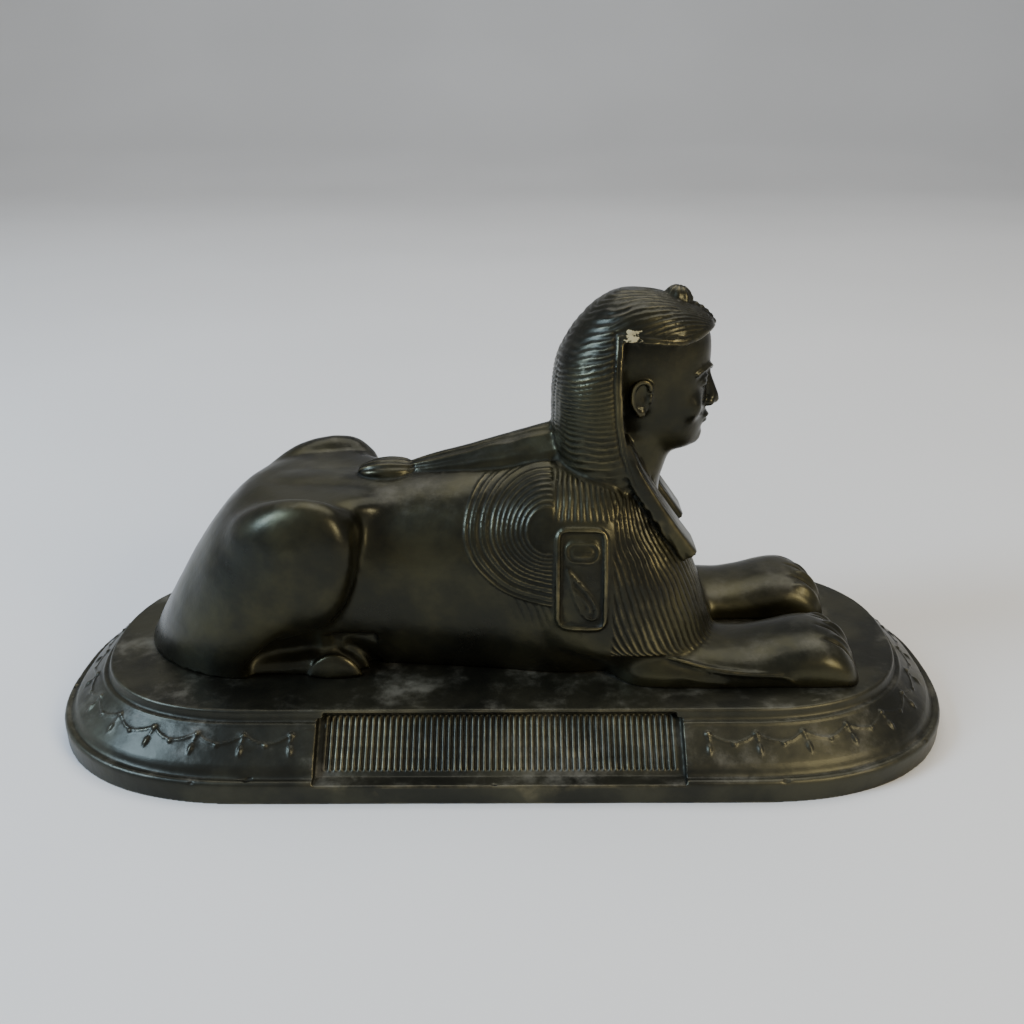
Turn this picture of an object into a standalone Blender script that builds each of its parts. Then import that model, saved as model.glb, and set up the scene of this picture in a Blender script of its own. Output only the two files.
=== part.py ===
"""Recumbent sphinx on an oblong moulded plinth.

Metres, +Z up, the underside of the plinth on z = 0 and the sphinx facing +X.
Two castings, sphinx and plinth, with a seam gap between them.
The lists below are in millimetres and are turned into metres by MM.
"""
import math

import bmesh
import bpy
from mathutils import Matrix, Vector
from mathutils.bvhtree import BVHTree

MM = 0.001

# Plinth sizes
PLINTH_LENGTH = 230.0
PLINTH_WIDTH = 100.0
END_REACH = 1.18            # length of the rounded end, as a share of the half width
END_FULLNESS = 2.4          # exponent of the rounded end's outline
END_STEPS = 20              # facets round half of one end
DECK_HEIGHT = 17.2
DECK_INSET = 13.1
BAND_HEIGHT = 4.9
FRIEZE_LOW = (0.86, 5.9)    # inset and height of the panel slope's lower edge
FRIEZE_HIGH = (11.0, 14.6)  # inset and height of its upper edge
RIM_DEPTH = 1.5             # rounded rim between the foot band and the cove
COVE_DEPTH = 1.8            # hollow between the rim and the frieze
BEAD_SIZE = 0.55

# Ribbed panels of the long sides
PANEL_LENGTH = 86.4
PANEL_RECESS = 2.5
PANEL_TOP = 15.2
PANEL_BOTTOM = 5.0
PANEL_BORDER = 1.3
RIB_COUNT = 60
RIB_DEPTH = 0.75
RIB_DROP = 0.2              # rib crests lie this far below the border

# Fit between the castings
SEAM_GAP = 0.3

# Figure: its lists are drawn over a deck at DRAWN_DECK for a length of DRAWN_LENGTH
FIGURE_LENGTH = 184.6
DRAWN_LENGTH = 184.6
DRAWN_DECK = 17.2
BODY_VOXEL = 1.0
FIGURE_VOXEL = 0.75
FIGURE_TRIANGLES = 9300
RING_POINTS = 40

# Along x: x, half width, bottom, top, fullness
TORSO = [
    (-93.3, 2.0, 11.0, 18.6, 2.2), (-91.0, 4.8, 11.0, 22.4, 2.2), (-88.0, 9.0, 11.0, 27.6, 2.2),
    (-84.5, 13.0, 11.0, 33.6, 2.2), (-78.0, 18.0, 11.0, 44.3, 2.2), (-71.7, 20.0, 11.0, 52.9, 2.2),
    (-65.5, 21.0, 11.0, 59.0, 2.2), (-60.0, 21.0, 11.0, 61.5, 2.2), (-50.0, 20.5, 11.0, 62.6, 2.2),
    (-38.0, 20.5, 10.5, 62.7, 2.3), (-28.0, 21.3, 10.0, 63.4, 2.4), (-15.0, 22.6, 10.0, 65.0, 2.5),
    (0.0, 24.0, 10.0, 66.6, 2.7), (13.0, 26.0, 10.0, 69.6, 2.9), (24.0, 26.3, 11.0, 69.6, 2.9),
    (33.0, 24.5, 12.0, 64.5, 2.6), (40.0, 20.0, 13.0, 55.0, 2.3),
]
QUEUE = [
    (17.0, 9.0, 60.0, 77.4, 1.7), (13.0, 8.2, 60.0, 76.3, 1.7), (6.0, 7.2, 60.0, 74.3, 1.7),
    (0.0, 6.4, 60.0, 72.6, 1.7), (-8.0, 5.3, 59.0, 70.3, 1.75), (-15.0, 4.3, 59.0, 68.4, 1.8),
    (-20.0, 3.4, 59.0, 66.9, 1.9), (-24.0, 2.8, 59.0, 65.6, 2.0),
]
# Along x on one side: x, inner y, outer y, bottom, top, fullness
FORELEG = [
    (25.0, 9.0, 17.5, 13.0, 23.5, 2.2), (29.0, 7.0, 24.5, 13.0, 25.5, 2.3),
    (34.0, 5.4, 28.3, 13.0, 26.8, 2.5), (42.0, 4.9, 29.2, 13.0, 26.8, 2.5),
    (52.0, 4.7, 29.2, 13.0, 25.6, 2.4), (60.0, 4.7, 29.0, 13.0, 25.2, 2.3),
    (67.0, 4.7, 29.1, 13.0, 26.3, 2.3), (73.0, 4.6, 29.4, 13.0, 28.0, 2.3),
    (78.0, 4.5, 29.6, 13.0, 28.6, 2.3), (83.0, 4.6, 29.3, 13.0, 26.9, 2.3),
    (86.2, 5.4, 28.2, 13.0, 23.6, 2.3), (88.2, 7.4, 26.0, 13.0, 20.2, 2.2),
    (89.2, 10.0, 23.0, 13.0, 17.8, 2.1),
]
HIND_FOOT = [
    (-72.0, 10.0, 22.4, 13.0, 20.0, 2.2), (-62.0, 10.0, 22.0, 13.0, 21.4, 2.4),
    (-54.0, 9.5, 21.8, 13.0, 21.7, 2.4), (-48.0, 9.0, 22.3, 13.0, 22.8, 2.4),
    (-43.0, 8.7, 23.2, 13.0, 24.6, 2.4), (-39.0, 8.9, 23.4, 13.0, 24.8, 2.4),
    (-36.4, 9.6, 22.6, 13.0, 22.4, 2.3), (-34.6, 11.2, 21.0, 13.0, 19.6, 2.1),
    (-33.8, 13.0, 19.2, 13.0, 18.0, 2.0),
]
HAUNCH = [
    (-73.0, 6.0, 13.0, 36.0, 45.0, 2.2), (-70.0, 6.0, 17.4, 33.0, 50.0, 2.2), (-66.0, 7.0, 21.8, 30.0, 55.3, 2.2),
    (-62.0, 9.0, 25.0, 29.0, 59.2, 2.3), (-57.0, 11.5, 27.3, 29.0, 62.3, 2.4),
    (-51.0, 14.0, 28.7, 30.0, 64.2, 2.4), (-45.0, 16.0, 29.2, 31.0, 64.9, 2.4),
    (-40.0, 17.0, 29.2, 34.0, 64.2, 2.4), (-36.2, 17.5, 28.6, 40.0, 61.6, 2.3),
    (-33.8, 18.5, 27.0, 47.0, 57.5, 2.1),
]
# Along z: z, back x, front x, half width, fullness
CHEST = [
    (14.0, 24.0, 57.0, 25.5, 2.4), (20.0, 20.0, 56.0, 26.8, 2.4), (24.2, 13.0, 54.9, 27.8, 2.6),
    (27.0, 4.0, 54.0, 28.3, 2.8), (32.0, 0.0, 52.4, 28.3, 2.8), (41.0, -2.0, 49.1, 27.9, 2.7),
    (47.0, -2.0, 46.3, 27.2, 2.5), (55.0, 0.0, 41.2, 25.2, 2.2), (61.0, 4.0, 38.6, 21.5, 2.1),
    (66.0, 8.0, 37.6, 16.0, 2.0), (70.0, 12.0, 37.0, 9.0, 2.0),
]
RUMP = [
    (12.0, -94.2, -36.0, 23.2, 1.75), (17.2, -93.4, -36.0, 23.8, 1.75), (20.0, -92.2, -36.0, 24.6, 1.8),
    (25.0, -89.7, -34.0, 26.0, 1.9), (30.0, -86.8, -31.0, 27.2, 2.0), (36.0, -83.1, -28.0, 28.2, 2.0),
    (43.5, -78.4, -26.0, 28.5, 2.05), (50.0, -74.0, -24.0, 28.4, 2.1), (54.5, -70.4, -23.0, 28.0, 2.1),
    (58.0, -67.0, -23.0, 26.6, 2.1), (60.5, -63.8, -24.0, 23.5, 2.1), (62.0, -60.0, -27.0, 18.0, 2.0),
]
NECK = [
    (55.0, 18.0, 40.0, 12.0, 2.2), (61.0, 18.0, 40.0, 10.2, 2.1), (66.0, 18.0, 41.2, 9.6, 2.1),
    (70.0, 18.0, 42.6, 9.5, 2.1), (75.0, 18.0, 44.0, 9.8, 2.1),
]
HEAD = [
    (69.8, 40.0, 45.6, 3.0, 2.0), (70.8, 34.0, 47.7, 5.4, 2.0), (72.6, 28.0, 48.9, 7.2, 2.1),
    (75.0, 24.0, 49.6, 8.7, 2.1), (78.0, 22.0, 50.1, 9.7, 2.15), (82.0, 20.0, 50.4, 10.7, 2.2),
    (86.0, 20.0, 50.3, 11.2, 2.2), (89.0, 20.0, 50.5, 11.3, 2.2), (92.0, 20.0, 50.9, 11.3, 2.2),
    (96.0, 20.0, 50.9, 11.0, 2.2), (101.0, 22.0, 49.6, 10.2, 2.1),
]
CLOTH = [
    (58.0, 15.0, 41.0, 15.0, 2.2), (66.0, 13.7, 42.0, 16.6, 2.25), (72.0, 13.0, 42.0, 16.9, 2.3),
    (78.0, 12.7, 42.0, 16.9, 2.3), (84.0, 12.7, 42.0, 16.8, 2.3), (90.0, 13.3, 43.0, 16.4, 2.3),
    (94.0, 14.4, 46.0, 15.9, 2.2), (98.0, 16.4, 50.2, 14.9, 2.1), (100.5, 18.0, 51.4, 14.0, 2.05),
    (102.5, 19.6, 50.2, 13.0, 2.05), (104.5, 21.5, 47.4, 11.6, 2.05), (106.3, 23.8, 43.6, 9.4, 2.0),
    (107.8, 26.2, 39.4, 6.5, 2.0), (108.7, 28.6, 34.8, 3.0, 2.0),
]
# Along z on one side: z, back x, front x, inner y, outer y, fullness
THIGH = [
    (28.0, -59.0, -50.0, 10.0, 23.0, 2.1), (31.0, -60.0, -44.6, 8.0, 25.8, 2.3),
    (36.0, -60.0, -39.6, 7.0, 27.6, 2.5), (42.0, -60.0, -36.2, 7.0, 28.7, 2.7),
    (48.0, -60.0, -34.1, 7.0, 29.3, 2.8), (54.0, -58.0, -32.9, 9.0, 29.1, 2.7),
    (58.0, -55.0, -33.0, 13.0, 28.2, 2.5), (61.0, -52.0, -34.6, 17.0, 26.6, 2.2),
]
ANKLE = [
    (22.0, -46.0, -37.5, 10.0, 20.5, 2.1), (28.0, -47.0, -37.8, 10.0, 20.8, 2.1),
    (34.0, -50.0, -36.8, 10.0, 21.4, 2.1), (40.0, -52.0, -36.0, 10.0, 21.0, 2.1),
]
# Opening of the headcloth in side view: x, z
FACE_OPENING = [
    (28.6, 99.3), (28.2, 90.7), (28.9, 81.1), (30.2, 73.7), (33.0, 66.1), (37.5, 57.0),
    (64.0, 57.0), (64.0, 101.4), (50.0, 100.2), (46.0, 98.7), (42.5, 98.1), (35.0, 98.9),
]
# Middle line of a lappet, with its half width: x, y, z, half width
LAPPET = [
    (28.8, 12.6, 75.0, 3.8), (33.0, 12.4, 66.4, 5.0), (37.4, 12.0, 59.4, 6.1),
    (42.0, 11.7, 52.7, 6.5), (46.2, 11.3, 46.9, 6.2),
]
LAPPET_THICKNESS = 4.6
# Rounded forms of the face, ears and headdress: centre, half axes, tilt about y in degrees
FACE_FORMS = [
    ((51.3, 0.0, 83.4), (2.9, 1.75, 2.9), 0.0), ((50.7, 0.0, 87.0), (1.5, 1.2, 4.6), -14.0),
    ((50.3, 0.0, 78.3), (1.5, 3.0, 0.9), 0.0), ((50.0, 0.0, 76.5), (1.5, 2.6, 1.0), 0.0),
    ((46.9, 0.0, 72.9), (3.1, 3.6, 2.6), 0.0),
]
PAIRED_FACE_FORMS = [
    ((48.4, 4.3, 88.0), (1.5, 2.2, 1.1), 0.0), ((47.9, 4.5, 90.8), (2.2, 3.4, 0.9), 0.0),
    ((33.0, 11.9, 86.0), (2.7, 1.7, 5.0), 8.0), ((45.6, 6.2, 82.0), (3.2, 3.2, 3.6), 0.0),
]
URAEUS_FORMS = [((42.5, 0.0, 106.4), (3.8, 3.5, 3.2), 25.0), ((47.9, 0.0, 103.0), (4.8, 1.9, 1.7), 37.0)]
TUFT_FORM = ((-28.0, 0.0, 63.9), (7.7, 4.7, 2.9), -3.0)
# Toes: middle y, furthest x, top z at the knuckle
FORE_TOES = [(8.2, 88.6, 26.8), (14.0, 89.6, 27.8), (20.0, 89.2, 27.4), (25.7, 86.6, 26.0)]
HIND_TOES = [(10.6, -33.6, 26.4), (14.5, -32.4, 27.0), (18.4, -32.4, 26.6), (22.0, -33.8, 25.2)]
# Front limit of the rump, which leaves the heel tendon standing: z, x
TENDON = [(12.0, -62.0), (21.0, -63.0), (33.0, -51.5), (42.0, -42.0), (52.0, -39.0), (63.0, -38.0)]
# Cartouche on the shoulder: x and z limits, corner radius, rim radius
CARTOUCHE = (14.2, 25.0, 34.4, 57.4)
CARTOUCHE_CORNER = 2.4
RIM_RADIUS = 0.65


def clear_scene():
    """Remove the objects and collections that the session started with."""
    for item in list(bpy.data.objects):
        bpy.data.objects.remove(item, do_unlink=True)
    for group in list(bpy.data.collections):
        bpy.data.collections.remove(group)


def collection(name):
    """Return a new collection linked to the scene."""
    group = bpy.data.collections.new(name)
    bpy.context.scene.collection.children.link(group)
    return group


def bronze(name, colour, roughness):
    """Return a metal material of one colour."""
    material = bpy.data.materials.new(name)
    material.use_nodes = True
    shader = material.node_tree.nodes["Principled BSDF"]
    shader.inputs["Base Color"].default_value = (*colour, 1.0)
    shader.inputs["Roughness"].default_value = roughness
    shader.inputs["Metallic"].default_value = 1.0
    material.diffuse_color = (*colour, 1.0)
    return material


def signed_power(value, exponent):
    """Raise the size of a number to a power and keep its sign."""
    return math.copysign(abs(value) ** exponent, value)


def section(centre, across, along, fullness):
    """Return the points of a superellipse with the half axes across and along."""
    points = []
    for i in range(RING_POINTS):
        turn = 2 * math.pi * (i + 0.5) / RING_POINTS
        c = signed_power(math.cos(turn), 2 / fullness)
        s = signed_power(math.sin(turn), 2 / fullness)
        points.append(centre + across * c + along * s)
    return points


def eased(stations, step=2.5):
    """Return stations at most a step apart, by a cubic that never overshoots."""
    count = len(stations)
    width = len(stations[0])
    slopes = []
    for i in range(count):
        row = []
        for k in range(width):
            if 0 < i < count - 1:
                before = stations[i][k] - stations[i - 1][k]
                after = stations[i + 1][k] - stations[i][k]
                low, high = sorted((abs(before), abs(after)))
                size = min((low + high) / 2, 2 * low) if before * after > 0 else 0.0
                row.append(math.copysign(size, before))
            else:
                near = min(max(i, 1), count - 1)
                row.append(stations[near][k] - stations[near - 1][k])
        slopes.append(row)
    result = []
    for i in range(count - 1):
        pieces = max(1, math.ceil(abs(stations[i + 1][0] - stations[i][0]) / step))
        for j in range(pieces):
            t = j / pieces
            a = 2 * t ** 3 - 3 * t ** 2 + 1
            b = t ** 3 - 2 * t ** 2 + t
            c = -2 * t ** 3 + 3 * t ** 2
            d = t ** 3 - t ** 2
            result.append([
                a * stations[i][k] + b * slopes[i][k] + c * stations[i + 1][k] + d * slopes[i + 1][k]
                for k in range(width)
            ])
    result.append(list(stations[-1]))
    return result


def add_loft(bm, rings):
    """Add a closed skin through rings of equal length, with flat ends."""
    rows = [[bm.verts.new(point) for point in ring] for ring in rings]
    count = len(rows[0])
    made = []
    for low, high in zip(rows, rows[1:]):
        for i in range(count):
            j = (i + 1) % count
            made.append(bm.faces.new((low[i], low[j], high[j], high[i])))
    made.append(bm.faces.new(rows[0][::-1]))
    made.append(bm.faces.new(rows[-1]))
    bmesh.ops.recalc_face_normals(bm, faces=made)


def add_lengthwise(bm, stations, side=1):
    """Add a form through upright sections that stand across the x axis."""
    rings = []
    for x, inner, outer, low, high, fullness in eased(stations):
        centre = Vector((x, side * (inner + outer) / 2, (low + high) / 2))
        rings.append(section(
            centre, Vector((0, (outer - inner) / 2, 0)), Vector((0, 0, (high - low) / 2)), fullness))
    add_loft(bm, rings)


def add_upright(bm, stations, side=1):
    """Add a form through level sections, one above the other."""
    rings = []
    for z, back, front, inner, outer, fullness in eased(stations):
        centre = Vector(((back + front) / 2, side * (inner + outer) / 2, z))
        rings.append(section(
            centre, Vector(((front - back) / 2, 0, 0)), Vector((0, (outer - inner) / 2, 0)), fullness))
    add_loft(bm, rings)


def both_halves(stations, at):
    """Turn one half width at the given place into an inner and an outer edge."""
    return [(*row[:at], -row[at], row[at], *row[at + 1:]) for row in stations]


def add_ellipsoid(bm, centre, axes, tilt=0.0):
    """Add an ellipsoid turned about the y direction."""
    matrix = Matrix.Translation(centre) @ Matrix.Rotation(math.radians(tilt), 4, "Y") @ Matrix.Diagonal((*axes, 1))
    bmesh.ops.create_uvsphere(bm, u_segments=28, v_segments=18, radius=1.0, matrix=matrix)


def add_tube(bm, points, radius):
    """Add a closed tube through the points."""
    curve = bpy.data.curves.new("tube", "CURVE")
    curve.dimensions = "3D"
    curve.bevel_depth = radius
    curve.bevel_resolution = 2
    spline = curve.splines.new("POLY")
    spline.points.add(len(points) - 1)
    for slot, point in zip(spline.points, points):
        slot.co = (*point, 1.0)
    spline.use_cyclic_u = True
    holder = bpy.data.objects.new("tube", curve)
    bpy.context.scene.collection.objects.link(holder)
    mesh = bpy.data.meshes.new_from_object(holder.evaluated_get(bpy.context.evaluated_depsgraph_get()))
    bm.from_mesh(mesh)
    bpy.data.objects.remove(holder, do_unlink=True)
    bpy.data.meshes.remove(mesh)


def object_from(bm, name, group):
    """Turn the working mesh into an object of the collection."""
    mesh = bpy.data.meshes.new(name)
    bm.to_mesh(mesh)
    bm.free()
    item = bpy.data.objects.new(name, mesh)
    group.objects.link(item)
    return item


def bake(item):
    """Replace the object's mesh by the result of its modifiers."""
    bpy.context.view_layer.update()
    old = item.data
    item.data = bpy.data.meshes.new_from_object(item.evaluated_get(bpy.context.evaluated_depsgraph_get()))
    item.modifiers.clear()
    bpy.data.meshes.remove(old)


def fuse(item, voxel, rounds):
    """Fuse overlapping closed forms into one skin and ease its edges."""
    remesh = item.modifiers.new("fuse", "REMESH")
    remesh.mode = "VOXEL"
    remesh.voxel_size = voxel
    ease = item.modifiers.new("ease", "SMOOTH")
    ease.factor = 0.5
    ease.iterations = rounds
    bake(item)


def subtract(item, cutter, name):
    """Cut one object out of another with a Boolean modifier."""
    cut = item.modifiers.new(name, "BOOLEAN")
    cut.operation = "DIFFERENCE"
    cut.solver = "EXACT"
    cut.object = cutter


def cutter_look(item):
    """Show a cutter as wires and keep it out of renders."""
    item.display_type = "WIRE"
    item.hide_render = True


def prism(name, outline, depth, group):
    """Return a flat outline pushed out by a vector."""
    bm = bmesh.new()
    face = bm.faces.new([bm.verts.new(point) for point in outline])
    pushed = bmesh.ops.extrude_face_region(bm, geom=[face])
    corners = [item for item in pushed["geom"] if isinstance(item, bmesh.types.BMVert)]
    bmesh.ops.translate(bm, verts=corners, vec=depth)
    bmesh.ops.recalc_face_normals(bm, faces=bm.faces)
    return object_from(bm, name, group)


def plinth_outline(inset, height):
    """Return one level of the plinth: straight sides with full rounded ends."""
    half_length = PLINTH_LENGTH / 2 - inset
    half_width = PLINTH_WIDTH / 2 - inset
    reach = END_REACH * half_width
    points = []
    for end in (1, -1):
        for i in range(END_STEPS + 1):
            turn = end * math.pi * (i / END_STEPS - 0.5)
            x = signed_power(math.cos(turn), 2 / END_FULLNESS) * reach + half_length - reach
            y = signed_power(math.sin(turn), 2 / END_FULLNESS) * half_width
            points.append(Vector((end * x, y, height)) * MM)
    return points


def plinth_profile():
    """Return the moulding from the bottom to the deck, as insets and heights."""
    _, low = FRIEZE_LOW
    high_inset, high = FRIEZE_HIGH
    rim, cove, bead = RIM_DEPTH, RIM_DEPTH + COVE_DEPTH, BEAD_SIZE
    return [
        (0.0, 0.0), (0.0, BAND_HEIGHT), (0.2 * rim, low - 0.3), (0.6 * rim, low), (rim, low),
        (rim + 0.4 * COVE_DEPTH, low + 0.45), (rim + 0.8 * COVE_DEPTH, low + 1.3), (cove, low + 2.1),
        (high_inset - bead, high - 0.5), (high_inset - 0.4 * bead, high), (high_inset + 0.7 * bead, high + 0.3),
        (high_inset + 1.5 * bead, high + 0.2), (DECK_INSET - 0.7, high + 0.9), (DECK_INSET - 0.5, DECK_HEIGHT - 0.6),
        (DECK_INSET, DECK_HEIGHT),
    ]


def frieze_frame():
    """Return a point on the panel plane, the slope up the panel and its outward normal, as (y, z)."""
    rise = Vector((FRIEZE_LOW[0] - FRIEZE_HIGH[0], FRIEZE_HIGH[1] - FRIEZE_LOW[1])).normalized()
    normal = Vector((rise.y, -rise.x))
    point = Vector((PLINTH_WIDTH / 2 - FRIEZE_LOW[0], FRIEZE_LOW[1])) - normal * PANEL_RECESS
    return point, rise, normal


def panel_cutter(side, group):
    """Return the cutter of a recessed panel on one long side."""
    point, rise, _ = frieze_frame()
    at_bottom = point + rise * ((PANEL_BOTTOM - point.y) / rise.y)
    at_top = point + rise * ((PANEL_TOP - point.y) / rise.y)
    reach = PLINTH_WIDTH / 2 + 4.0
    start = -PANEL_LENGTH / 2
    outline = [(reach, PANEL_BOTTOM), tuple(at_bottom), tuple(at_top), (reach, PANEL_TOP)]
    points = [Vector((start, side * y, z)) * MM for y, z in outline]
    cutter = prism("panel_cutter", points, Vector((PANEL_LENGTH * MM, 0, 0)), group)
    cutter_look(cutter)
    return cutter


def rib_cutter(side, group):
    """Return the toothed cutter that leaves the ribs of one panel standing."""
    point, rise, normal = frieze_frame()
    start = point + rise * ((PANEL_BOTTOM + PANEL_BORDER * rise.y - point.y) / rise.y)
    end = point + rise * ((PANEL_TOP - PANEL_BORDER * rise.y - point.y) / rise.y)
    ribbed = PANEL_LENGTH - 2 * PANEL_BORDER
    outline = []
    for i in range(2 * RIB_COUNT + 1):
        depth = RIB_DROP if i % 2 else RIB_DEPTH
        outline.append((-ribbed / 2 + ribbed * i / (2 * RIB_COUNT), -depth))
    outline += [(ribbed / 2, PANEL_RECESS + 2.0), (-ribbed / 2, PANEL_RECESS + 2.0)]
    points = []
    for x, out in outline:
        place = start + normal * out
        points.append(Vector((x, side * place.x, place.y)) * MM)
    length = end - start
    cutter = prism("rib_cutter", points, Vector((0, side * length.x, length.y)) * MM, group)
    cutter_look(cutter)
    return cutter


def make_plinth(group, cutters):
    """Return the plinth with its mouldings and ribbed side panels."""
    bm = bmesh.new()
    add_loft(bm, [plinth_outline(inset, height) for inset, height in plinth_profile()])
    plinth = object_from(bm, "plinth", group)
    for side in (1, -1):
        subtract(plinth, panel_cutter(side, cutters), "panel")
        subtract(plinth, rib_cutter(side, cutters), "ribs")
    plinth.data.materials.append(bronze("plinth_bronze", (0.075, 0.062, 0.035), 0.42))
    return plinth


def add_rump(bm):
    """Add the rump, cut back in front along the heel tendons."""
    rings = []
    for z, back, front, half, fullness in eased(RUMP):
        limit = next(
            x0 + (x1 - x0) * (z - z0) / (z1 - z0)
            for (z0, x0), (z1, x1) in zip(TENDON, TENDON[1:]) if z <= z1)
        centre = Vector(((back + front) / 2, 0, z))
        ring = section(centre, Vector(((front - back) / 2, 0, 0)), Vector((0, half, 0)), fullness)
        for point in ring:
            share = min(max((20.0 - abs(point.y)) / 8.0, 0.0), 1.0)
            point.x = min(point.x, limit + max(front - limit, 0.0) * share)
        rings.append(ring)
    add_loft(bm, rings)


def body_forms():
    """Return the working mesh of the soft forms: body, legs, neck and head."""
    bm = bmesh.new()
    add_lengthwise(bm, both_halves(TORSO, 1))
    for stations in (CHEST, NECK, HEAD):
        add_upright(bm, both_halves(stations, 3))
    add_rump(bm)
    for side in (1, -1):
        add_upright(bm, THIGH, side)
        add_lengthwise(bm, HAUNCH, side)
        add_lengthwise(bm, FORELEG, side)
        add_lengthwise(bm, HIND_FOOT, side)
        add_upright(bm, ANKLE, side)
    for centre, axes, tilt in FACE_FORMS:
        add_ellipsoid(bm, centre, axes, tilt)
    for side in (1, -1):
        for centre, axes, tilt in PAIRED_FACE_FORMS:
            add_ellipsoid(bm, (centre[0], side * centre[1], centre[2]), axes, tilt)
    return bm


def add_toes(bm, toes, reach, half_width, side):
    """Add the rounded toes of one paw."""
    for y, front, top in toes:
        height = top - DRAWN_DECK + 3.0
        add_ellipsoid(bm, (front - reach, side * y, top - height), (reach, half_width, height), 0.0)


def lappet_rings(side):
    """Return the sections of a lappet that lies on the chest."""
    rings = []
    rows = eased([(row[2], row[0], row[1], row[3]) for row in LAPPET])
    places = [Vector((x, side * y, z)) for z, x, y, _ in rows]
    for i, row in enumerate(rows):
        run = (places[min(i + 1, len(rows) - 1)] - places[max(i - 1, 0)]).normalized()
        across = Vector((0, 1, 0))
        out = across.cross(run).normalized()
        rings.append(section(places[i], across * row[3], out * (LAPPET_THICKNESS / 2), 5.0))
    return rings


def headcloth(cutters):
    """Return the headcloth with its opening for the face."""
    bm = bmesh.new()
    add_upright(bm, both_halves(CLOTH, 3))
    cloth = object_from(bm, "headcloth", cutters)
    outline = [Vector((x, -30.0, z)) for x, z in FACE_OPENING]
    opening = prism("face_opening", outline, Vector((0, 60.0, 0)), cutters)
    subtract(cloth, opening, "opening")
    bake(cloth)
    bpy.data.objects.remove(opening, do_unlink=True)
    return cloth


def rounded_rectangle(left, right, low, high, radius, steps=4):
    """Return the corner arcs of a rounded rectangle in side view."""
    points = []
    for cx, cz, first in (
        (right - radius, high - radius, 0), (left + radius, high - radius, 90),
        (left + radius, low + radius, 180), (right - radius, low + radius, 270),
    ):
        for i in range(steps + 1):
            turn = math.radians(first + 90 * i / steps)
            points.append((cx + radius * math.cos(turn), cz + radius * math.sin(turn)))
    return points


def drop_outline(top, bottom, half_width, steps=10):
    """Return a teardrop that hangs from a point, in side view."""
    axis = Vector(bottom) - Vector(top)
    across = Vector((-axis.y, axis.x)).normalized()
    points = []
    for i in range(2 * steps):
        turn = math.pi * i / steps
        along = (1 - math.cos(turn)) / 2
        wide = half_width * math.sin(turn) * along ** 0.8
        points.append(tuple(Vector(top) + axis * along + across * wide))
    return points


def add_surface_line(bm, surface, outline, side, radius):
    """Add a raised closed line that follows the side of the body."""
    points = []
    for x, z in outline:
        hit = surface.ray_cast(Vector((x, side * 60.0, z)), Vector((0, -side, 0)))
        points.append(hit[0])
    add_tube(bm, points, radius)


def add_cartouche(bm, surface, side):
    """Add the rim of a cartouche with a loop and a drop in it."""
    left, right, low, high = CARTOUCHE
    middle = (left + right) / 2
    add_surface_line(bm, surface, rounded_rectangle(left, right, low, high, CARTOUCHE_CORNER), side, RIM_RADIUS)
    loop = rounded_rectangle(left + 1.8, right - 1.8, high - 7.6, high - 3.0, 2.2)
    add_surface_line(bm, surface, loop, side, RIM_RADIUS * 0.8)
    drop = drop_outline((left + 2.4, high - 9.6), (middle + 2.6, low + 3.2), 2.6)
    add_surface_line(bm, surface, drop, side, RIM_RADIUS * 0.8)


def make_sphinx(group, cutters):
    """Return the sphinx as one closed body that stands just clear of the deck."""
    body = object_from(body_forms(), "sphinx", group)
    fuse(body, BODY_VOXEL, 7)

    crisp = bmesh.new()
    crisp.from_mesh(body.data)
    surface = BVHTree.FromBMesh(crisp)
    cloth = headcloth(cutters)
    crisp.from_mesh(cloth.data)
    bpy.data.objects.remove(cloth, do_unlink=True)
    add_lengthwise(crisp, both_halves(QUEUE, 1))
    add_ellipsoid(crisp, *TUFT_FORM)
    for centre, axes, tilt in URAEUS_FORMS:
        add_ellipsoid(crisp, centre, axes, tilt)
    for side in (1, -1):
        add_loft(crisp, lappet_rings(side))
        add_toes(crisp, FORE_TOES, 8.0, 3.3, side)
        add_toes(crisp, HIND_TOES, 7.5, 2.1, side)
        add_cartouche(crisp, surface, side)
    crisp.to_mesh(body.data)
    crisp.free()
    fuse(body, FIGURE_VOXEL, 2)

    body.data.transform(Matrix.Translation((0, 0, -DRAWN_DECK)))
    body.data.transform(Matrix.Scale(FIGURE_LENGTH / DRAWN_LENGTH * MM, 4))
    body.data.transform(Matrix.Translation((0, 0, (DECK_HEIGHT + SEAM_GAP) * MM)))
    thin = body.modifiers.new("thin", "DECIMATE")
    thin.ratio = FIGURE_TRIANGLES / (2 * len(body.data.polygons))
    bake(body)

    slab = bmesh.new()
    size = Matrix.Diagonal((PLINTH_LENGTH * 1.2 * MM, PLINTH_WIDTH * 1.2 * MM, 0.05, 1.0))
    shift = Matrix.Translation((0, 0, (DECK_HEIGHT + SEAM_GAP) * MM - 0.025))
    bmesh.ops.create_cube(slab, size=1.0, matrix=shift @ size)
    seat = object_from(slab, "seat_cutter", cutters)
    cutter_look(seat)
    subtract(body, seat, "seat")
    body.data.materials.append(bronze("sphinx_bronze", (0.062, 0.052, 0.032), 0.38))
    body.data.shade_smooth()
    return body


def main():
    clear_scene()
    group = collection("sphinx_statue")
    cutters = collection("cutters")
    make_plinth(group, cutters)
    make_sphinx(group, cutters)


main()
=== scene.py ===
"""Looks of the sphinx statue: detailed castings, bronze materials, soft light and the camera."""
import math

import bmesh
import bpy
import numpy as np
from mathutils import Matrix, Vector
from mathutils.bvhtree import BVHTree
from mathutils.kdtree import KDTree


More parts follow.
